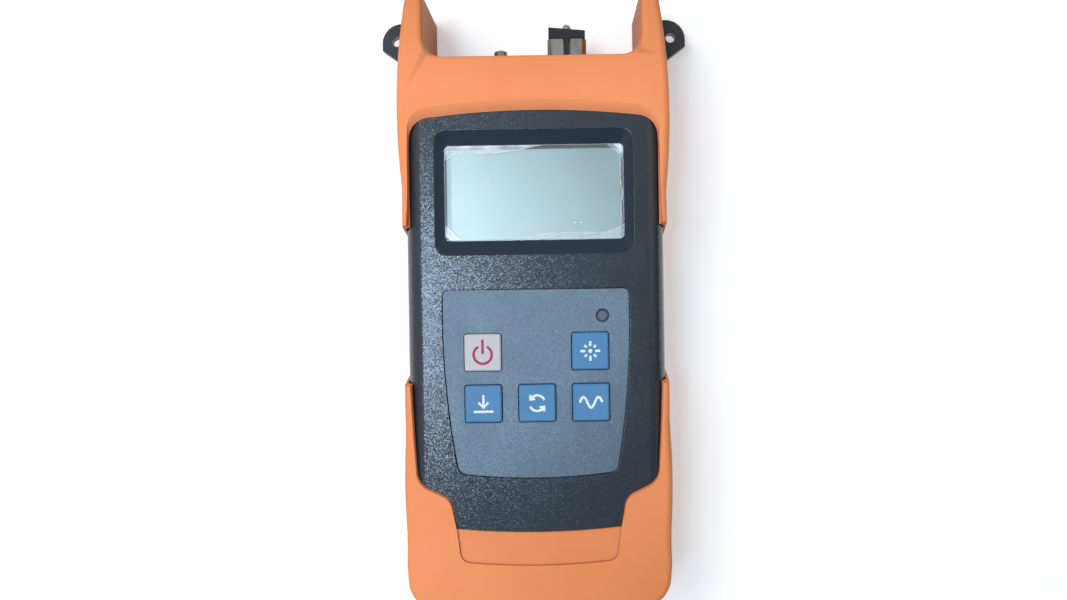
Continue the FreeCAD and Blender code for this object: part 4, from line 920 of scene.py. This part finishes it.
class METER_OT_display(bpy.types.Operator):
    """Make the display's clear lens and the creased protective film over it"""

    bl_idname = "meter.display"
    bl_label = "Display Film"

    def execute(self, context):
        settings = context.scene.meter_display
        self.make_lens(settings)
        size = FILM_HIGH - FILM_LOW
        shape = bmesh.new()
        bmesh.ops.create_grid(shape, x_segments=240, y_segments=130, size=0.5)
        base = Vector((FILM_MIDDLE.x, FILM_MIDDLE.y, FILM_LOW.z + FILM_GAP))
        spread = Matrix.Diagonal((size.x, size.y, 1.0, 1.0))
        bmesh.ops.transform(shape, matrix=Matrix.Translation(base) @ spread, verts=shape.verts)
        white = shape.verts.layers.float.new("whitening")
        creases = film_creases()
        for vertex in shape.verts:
            border = min(*(vertex.co - FILM_LOW).xy, *(FILM_HIGH - vertex.co).xy)
            round_corner(vertex.co, settings.corner)
            whitening, rise = self.look_at(vertex.co, creases, settings)
            if border < settings.frame_line:
                whitening = max(whitening, 0.5)
            vertex[white] = min(1.0, max(0.0, whitening))
            vertex.co.z += max(0.0, rise)
        film = finished_piece("display_film", shape, "protective_film", crease=60.0)
        thick = film.modifiers.new("Thickness", "SOLIDIFY")
        thick.thickness = FILM_THICK
        thick.offset = 1.0
        return {"FINISHED"}

    def make_lens(self, settings):
        """The lens with its upper edges slightly rounded."""
        shape = merged_copy("display_lens")
        soften(shape, LENS_TOP, settings.lens_edge)
        flatten_normals(finished_piece("display_window", shape, "display_lens"))

    def look_at(self, place, creases, settings):
        """Whitening of the film and its height over the lens at a place."""
        flat = Vector((place.x, place.y, 0.0))
        cloud = noise.noise(flat / (2.5 * MM))
        patchy = 0.6 + 0.5 * noise.noise(flat / (1.3 * MM))
        whitening = 0.0
        rise = 0.0
        for crease in creases:
            ridge = crease.ridge(flat, settings.crease_width)
            strip = crease.strip(flat) * (1.0 + 0.5 * cloud)
            whitening = max(whitening, 0.9 * ridge * patchy, strip)
            rise += settings.crease_rise * ridge
        for across, along in GRIT:
            apart = (flat - Vector((across, along, 0.0))).length
            whitening = max(whitening, 2.2 * math.exp(-((apart / GRIT_SIZE) ** 2)))
        from_corner = (FILM_HIGH.x - flat.x) + (FILM_HIGH.y - flat.y)
        crumple = max(0.0, min(1.0, 1.4 - from_corner / (3.6 * MM)))
        folds = noise.fractal(flat / (1.1 * MM), 0.8, 2.0, 4)
        rise += settings.lift * crumple * (0.6 + 0.4 * folds)
        whitening = max(whitening, crumple * (0.75 + 0.5 * folds))
        return whitening, rise


class METER_OT_keypad(bpy.types.Operator):
    """Make the ring round the indicator light and the marks on the five keys"""

    bl_idname = "meter.keypad"
    bl_label = "Keypad"

    def execute(self, context):
        settings = context.scene.meter_keypad
        self.make_ring(settings)
        white_ink = ink_finish("White ink", settings.ink)
        red_ink = ink_finish("Red ink", settings.mark)
        circle = arc(2.55, 118, 422)
        bar = [(0.0, 0.2), (0.0, 4.3)]
        self.mark("power_key", [(circle, False), (bar, False)], red_ink, -0.6 * MM, 0.76 * MM)
        self.mark("laser_key", self.burst(), white_ink)
        self.mark("reference_key", self.zero_arrow(), white_ink)
        self.mark("unit_key", self.swap_arrows(), white_ink)
        self.mark("wavelength_key", self.wave(), white_ink)
        return {"FINISHED"}

    def mark(self, key, lines, ink, down=0.0, stroke=None):
        """A printed mark made of flat lines in millimetres, in the middle of a key."""
        settings = bpy.context.scene.meter_keypad
        stroke = stroke or settings.stroke
        name = key.replace("_key", "_mark")
        curve = bpy.data.curves.new(name, "CURVE")
        curve.dimensions = "3D"
        curve.bevel_depth = stroke / 2
        curve.bevel_resolution = 2
        curve.use_fill_caps = True
        for points, closed in lines:
            spline = curve.splines.new("POLY")
            spline.points.add(len(points) - 1)
            for point, (x, y) in zip(spline.points, points):
                point.co = (x * MM, y * MM, 0.0, 1.0)
            spline.use_cyclic_u = closed
        mesh = curve_mesh(curve)
        shape = bmesh.new()
        shape.from_mesh(mesh)
        bpy.data.meshes.remove(mesh)
        bmesh.ops.remove_doubles(shape, verts=shape.verts, dist=WELD)
        low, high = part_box(key)
        place = Vector(((low.x + high.x) / 2, (low.y + high.y) / 2 + down, high.z))
        flat = Matrix.Diagonal((1.0, 1.0, 2 * settings.print_height / stroke, 1.0))
        bmesh.ops.transform(shape, matrix=Matrix.Translation(place) @ flat, verts=shape.verts)
        bmesh.ops.recalc_face_normals(shape, faces=shape.faces)
        finished_piece(name, shape, key, ink, replaces=False)

    def burst(self):
        """A beam's point with eight rays."""
        lines = [(arc(0.24, 0, 360, 16)[:-1], True)]
        for turn in range(8):
            angle = math.radians(45 * turn)
            reach = 2.8 if turn % 2 == 0 else 2.3
            ray = [(start * math.cos(angle), start * math.sin(angle)) for start in (1.4, reach)]
            lines.append((ray, False))
        return lines

    def zero_arrow(self):
        """An arrow that comes down on a base line."""
        return [
            ([(-2.8, -2.2), (2.8, -2.2)], False),
            ([(0.0, 2.5), (0.0, -1.1)], False),
            ([(-1.4, 0.4), (0.0, -1.1), (1.4, 0.4)], False),
        ]

    def swap_arrows(self):
        """Two arrows that chase each other round."""
        lines = []
        for turn, side in ((0, 1.0), (180, -1.0)):
            sweep = arc(2.2, turn + 25, turn + 155)
            x, y = sweep[-1]
            head = [(x + side * 0.05, y + side * 1.4), (x, y), (x + side * 1.4, y + side * 0.3)]
            lines += [(sweep, False), (head, False)]
        return lines

    def wave(self):
        """One and a half waves."""
        shares = [step / 40 for step in range(41)]
        points = [
            ((2 * along - 1) * 3.2, 1.5 * math.sin(along * 3 * math.pi)) for along in shares
        ]
        return [(points, False)]

    def make_ring(self, settings):
        """A flat dark ring pressed round the indicator light."""
        low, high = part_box("indicator_light")
        middle = Vector(((low.x + high.x) / 2, (low.y + high.y) / 2, 0.0))
        outer, inner, thick = 1.88 * MM, 1.33 * MM, 0.06 * MM
        corners = [
            (inner, 0.0, PAD_FACE),
            (outer, 0.0, PAD_FACE),
            (outer, 0.0, PAD_FACE + thick),
            (inner, 0.0, PAD_FACE + thick),
        ]
        shape = turned(corners, (0, 0, 1), closed=True)
        bmesh.ops.translate(shape, vec=middle, verts=shape.verts)
        ink = ink_finish("Ring ink", settings.ring)
        finished_piece("indicator_ring", shape, "indicator_light", ink, replaces=False)


class METER_OT_ports(bpy.types.Operator):
    """Make the metal stud of the dust cap with its ball"""

    bl_idname = "meter.ports"
    bl_label = "Ports"

    def execute(self, context):
        settings = context.scene.meter_ports
        shank, ball = settings.stud_shank, settings.stud_ball
        low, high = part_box("cap_stud")
        middle = (low + high) / 2
        top = high.y + settings.stud_rise
        neck = math.degrees(math.acos(shank / ball))
        outline = [(0.0, low.y), (shank, low.y)]
        outline += arc(ball, -neck, 90, 24, (0.0, top - ball))
        shape = turned([(across, along, 0.0) for across, along in outline], (0, 1, 0))
        bmesh.ops.translate(shape, vec=(middle.x, 0.0, middle.z), verts=shape.verts)
        finished_piece("ball_stud", shape, "cap_stud")
        return {"FINISHED"}


class METER_OT_finishes(bpy.types.Operator):
    """Give every part that keeps its own shape its finish"""

    bl_idname = "meter.finishes"
    bl_label = "Finishes"

    def execute(self, context):
        for name, node in NODES.items():
            node.data.materials.clear()
            node.data.materials.append(finish(SLOTS[name]))
        return {"FINISHED"}


class METER_OT_stage(bpy.types.Operator):
    """Set the pale floor, the soft lamps and the camera"""

    bl_idname = "meter.stage"
    bl_label = "Stage"

    def execute(self, context):
        settings = context.scene.meter_stage
        self.make_floor()
        self.make_sky(settings)
        self.lamp("window", (-0.25, -0.03, 1.05), (0.16, 0.28), 20.5, (0.54, 0.76, 1.0), 3.0)
        key = self.lamp("key_box", (-0.34, 0.20, 0.66), (0.30, 0.40), 6.8, (1.0, 0.97, 0.94))
        key.visible_glossy = False
        self.lamp("fill_box", (0.75, 0.35, 0.95), (0.9, 0.9), 0.45, (1.0, 0.98, 0.95))
        self.make_camera(settings)
        context.scene.view_settings.view_transform = "Standard"
        return {"FINISHED"}

    def make_floor(self):
        shape = bmesh.new()
        bmesh.ops.create_grid(shape, x_segments=1, y_segments=1, size=4.0)
        mesh = bpy.data.meshes.new("floor")
        shape.to_mesh(mesh)
        shape.free()
        material, tree = new_material(
            "Pale floor",
            specular=0.1,
            Roughness=0.9,
            Emission_Color=(1.0, 1.0, 1.0, 1.0),
        )
        rays = put(tree, "LightPath").outputs
        seen = maths(tree, "ADD", rays["Is Camera Ray"], rays["Is Glossy Ray"])
        seen = maths(tree, "ADD", seen, rays["Is Transmission Ray"], clamp=True)
        cloud = put(tree, "TexNoise", {"Scale": 3.0})
        tone = ramp(tree, cloud.outputs[0], 0.2, 0.8, 0.97, 1.0)
        white = mixed(tree, tone, shade(236, 236, 236), shade(240, 240, 240))
        base = mixed(tree, seen, shade(150, 150, 150), white)
        glow = maths(tree, "MULTIPLY", seen, 0.3)
        mesh.materials.append(feed(material, Base_Color=base, Emission_Strength=glow))
        floor = new_object("floor", mesh)

    def make_sky(self, settings):
        world = bpy.data.worlds.new("Studio")
        bpy.context.scene.world = world
        world.use_nodes = True
        tree = world.node_tree
        rays = put(tree, "LightPath").outputs
        across, along, rise = axes(tree, "Generated")
        far_left = maths(tree, "MULTIPLY_ADD", across, -0.8, along)
        sided = ramp(tree, far_left, -0.4, 0.4, 0.12, 1.88)
        mirrored = ramp(tree, rise, 0.05, 0.9, 0.24, 0.2)
        mirrored = maths(tree, "MULTIPLY", mirrored, sided)
        level = maths(tree, "MULTIPLY", rays["Is Glossy Ray"], mirrored)
        plain = maths(tree, "SUBTRACT", 1.0, rays["Is Glossy Ray"])
        level = maths(tree, "MULTIPLY_ADD", plain, settings.sky, level)
        unscattered = maths(tree, "LESS_THAN", rays["Diffuse Depth"], 0.5)
        through = maths(tree, "MULTIPLY", rays["Is Transmission Ray"], unscattered)
        clear = maths(tree, "ADD", rays["Is Camera Ray"], through, clamp=True)
        level = maths(tree, "MAXIMUM", level, clear)
        white = (1.0, 1.0, 1.0, 1.0)
        wire(tree, tree.nodes["Background"], {"Color": white, "Strength": level})

    def lamp(self, name, place, size, level, tint, roll=0.0):
        """A soft box turned to the meter, with its brightness as seen from it."""
        light = bpy.data.lights.new(name, "AREA")
        light.shape = "RECTANGLE"
        light.size, light.size_y = size
        light.energy = level * math.pi * size[0] * size[1]
        light.color = tint
        lamp = new_object(name, light)
        lamp.location = place
        back = (Vector(place) - Vector((0.0, 0.0, 0.02))).normalized()
        side = Vector((0.0, 1.0, 0.0)).cross(back).normalized()
        facing = Matrix((side, back.cross(side), back)).transposed()
        lamp.rotation_euler = facing.to_euler()
        lamp.rotation_euler.rotate_axis("Z", math.radians(roll))
        return lamp

    def make_camera(self, settings):
        camera = bpy.data.cameras.new("camera")
        camera.sensor_width = 36.0
        camera.lens = settings.lens
        camera.shift_x = settings.shift
        camera.clip_start = 0.01
        placed = new_object("camera", camera)
        placed.location = (settings.camera_side, 0.0, BOOT_FRONT + settings.camera_rise)
        placed.rotation_euler = (0.0, 0.0, settings.turn)
        bpy.context.scene.camera = placed


class METER_PT_panel(bpy.types.Panel):
    """Lists the steps and the settings of the power meter"""

    bl_idname = "METER_PT_panel"
    bl_label = "Power Meter"
    bl_space_type = "VIEW_3D"
    bl_region_type = "UI"
    bl_category = "Power Meter"

    def draw(self, context):
        for operator in OPERATORS:
            self.layout.operator(operator.bl_idname)
        for name, group in SETTINGS.items():
            box = self.layout.box()
            for setting in group.__annotations__:
                box.prop(getattr(context.scene, name), setting)


SETTINGS = {
    "meter_boot": BootSettings,
    "meter_casing": CasingSettings,
    "meter_display": DisplaySettings,
    "meter_keypad": KeypadSettings,
    "meter_ports": PortSettings,
    "meter_stage": StageSettings,
}
OPERATORS = [
    METER_OT_finishes,
    METER_OT_boot,
    METER_OT_casing,
    METER_OT_display,
    METER_OT_keypad,
    METER_OT_ports,
    METER_OT_stage,
]


def register():
    for name, group in SETTINGS.items():
        bpy.utils.register_class(group)
        setattr(bpy.types.Scene, name, PointerProperty(type=group))
    for operator in OPERATORS:
        bpy.utils.register_class(operator)
    bpy.utils.register_class(METER_PT_panel)


def unregister():
    bpy.utils.unregister_class(METER_PT_panel)
    for operator in reversed(OPERATORS):
        bpy.utils.unregister_class(operator)
    for name, group in reversed(SETTINGS.items()):
        delattr(bpy.types.Scene, name)
        bpy.utils.unregister_class(group)


def main():
    """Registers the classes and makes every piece."""
    register()
    bpy.ops.meter.finishes()
    bpy.ops.meter.boot()
    bpy.ops.meter.casing()
    bpy.ops.meter.display()
    bpy.ops.meter.keypad()
    bpy.ops.meter.ports()
    bpy.ops.meter.stage()


if __name__ == "__main__":
    main()
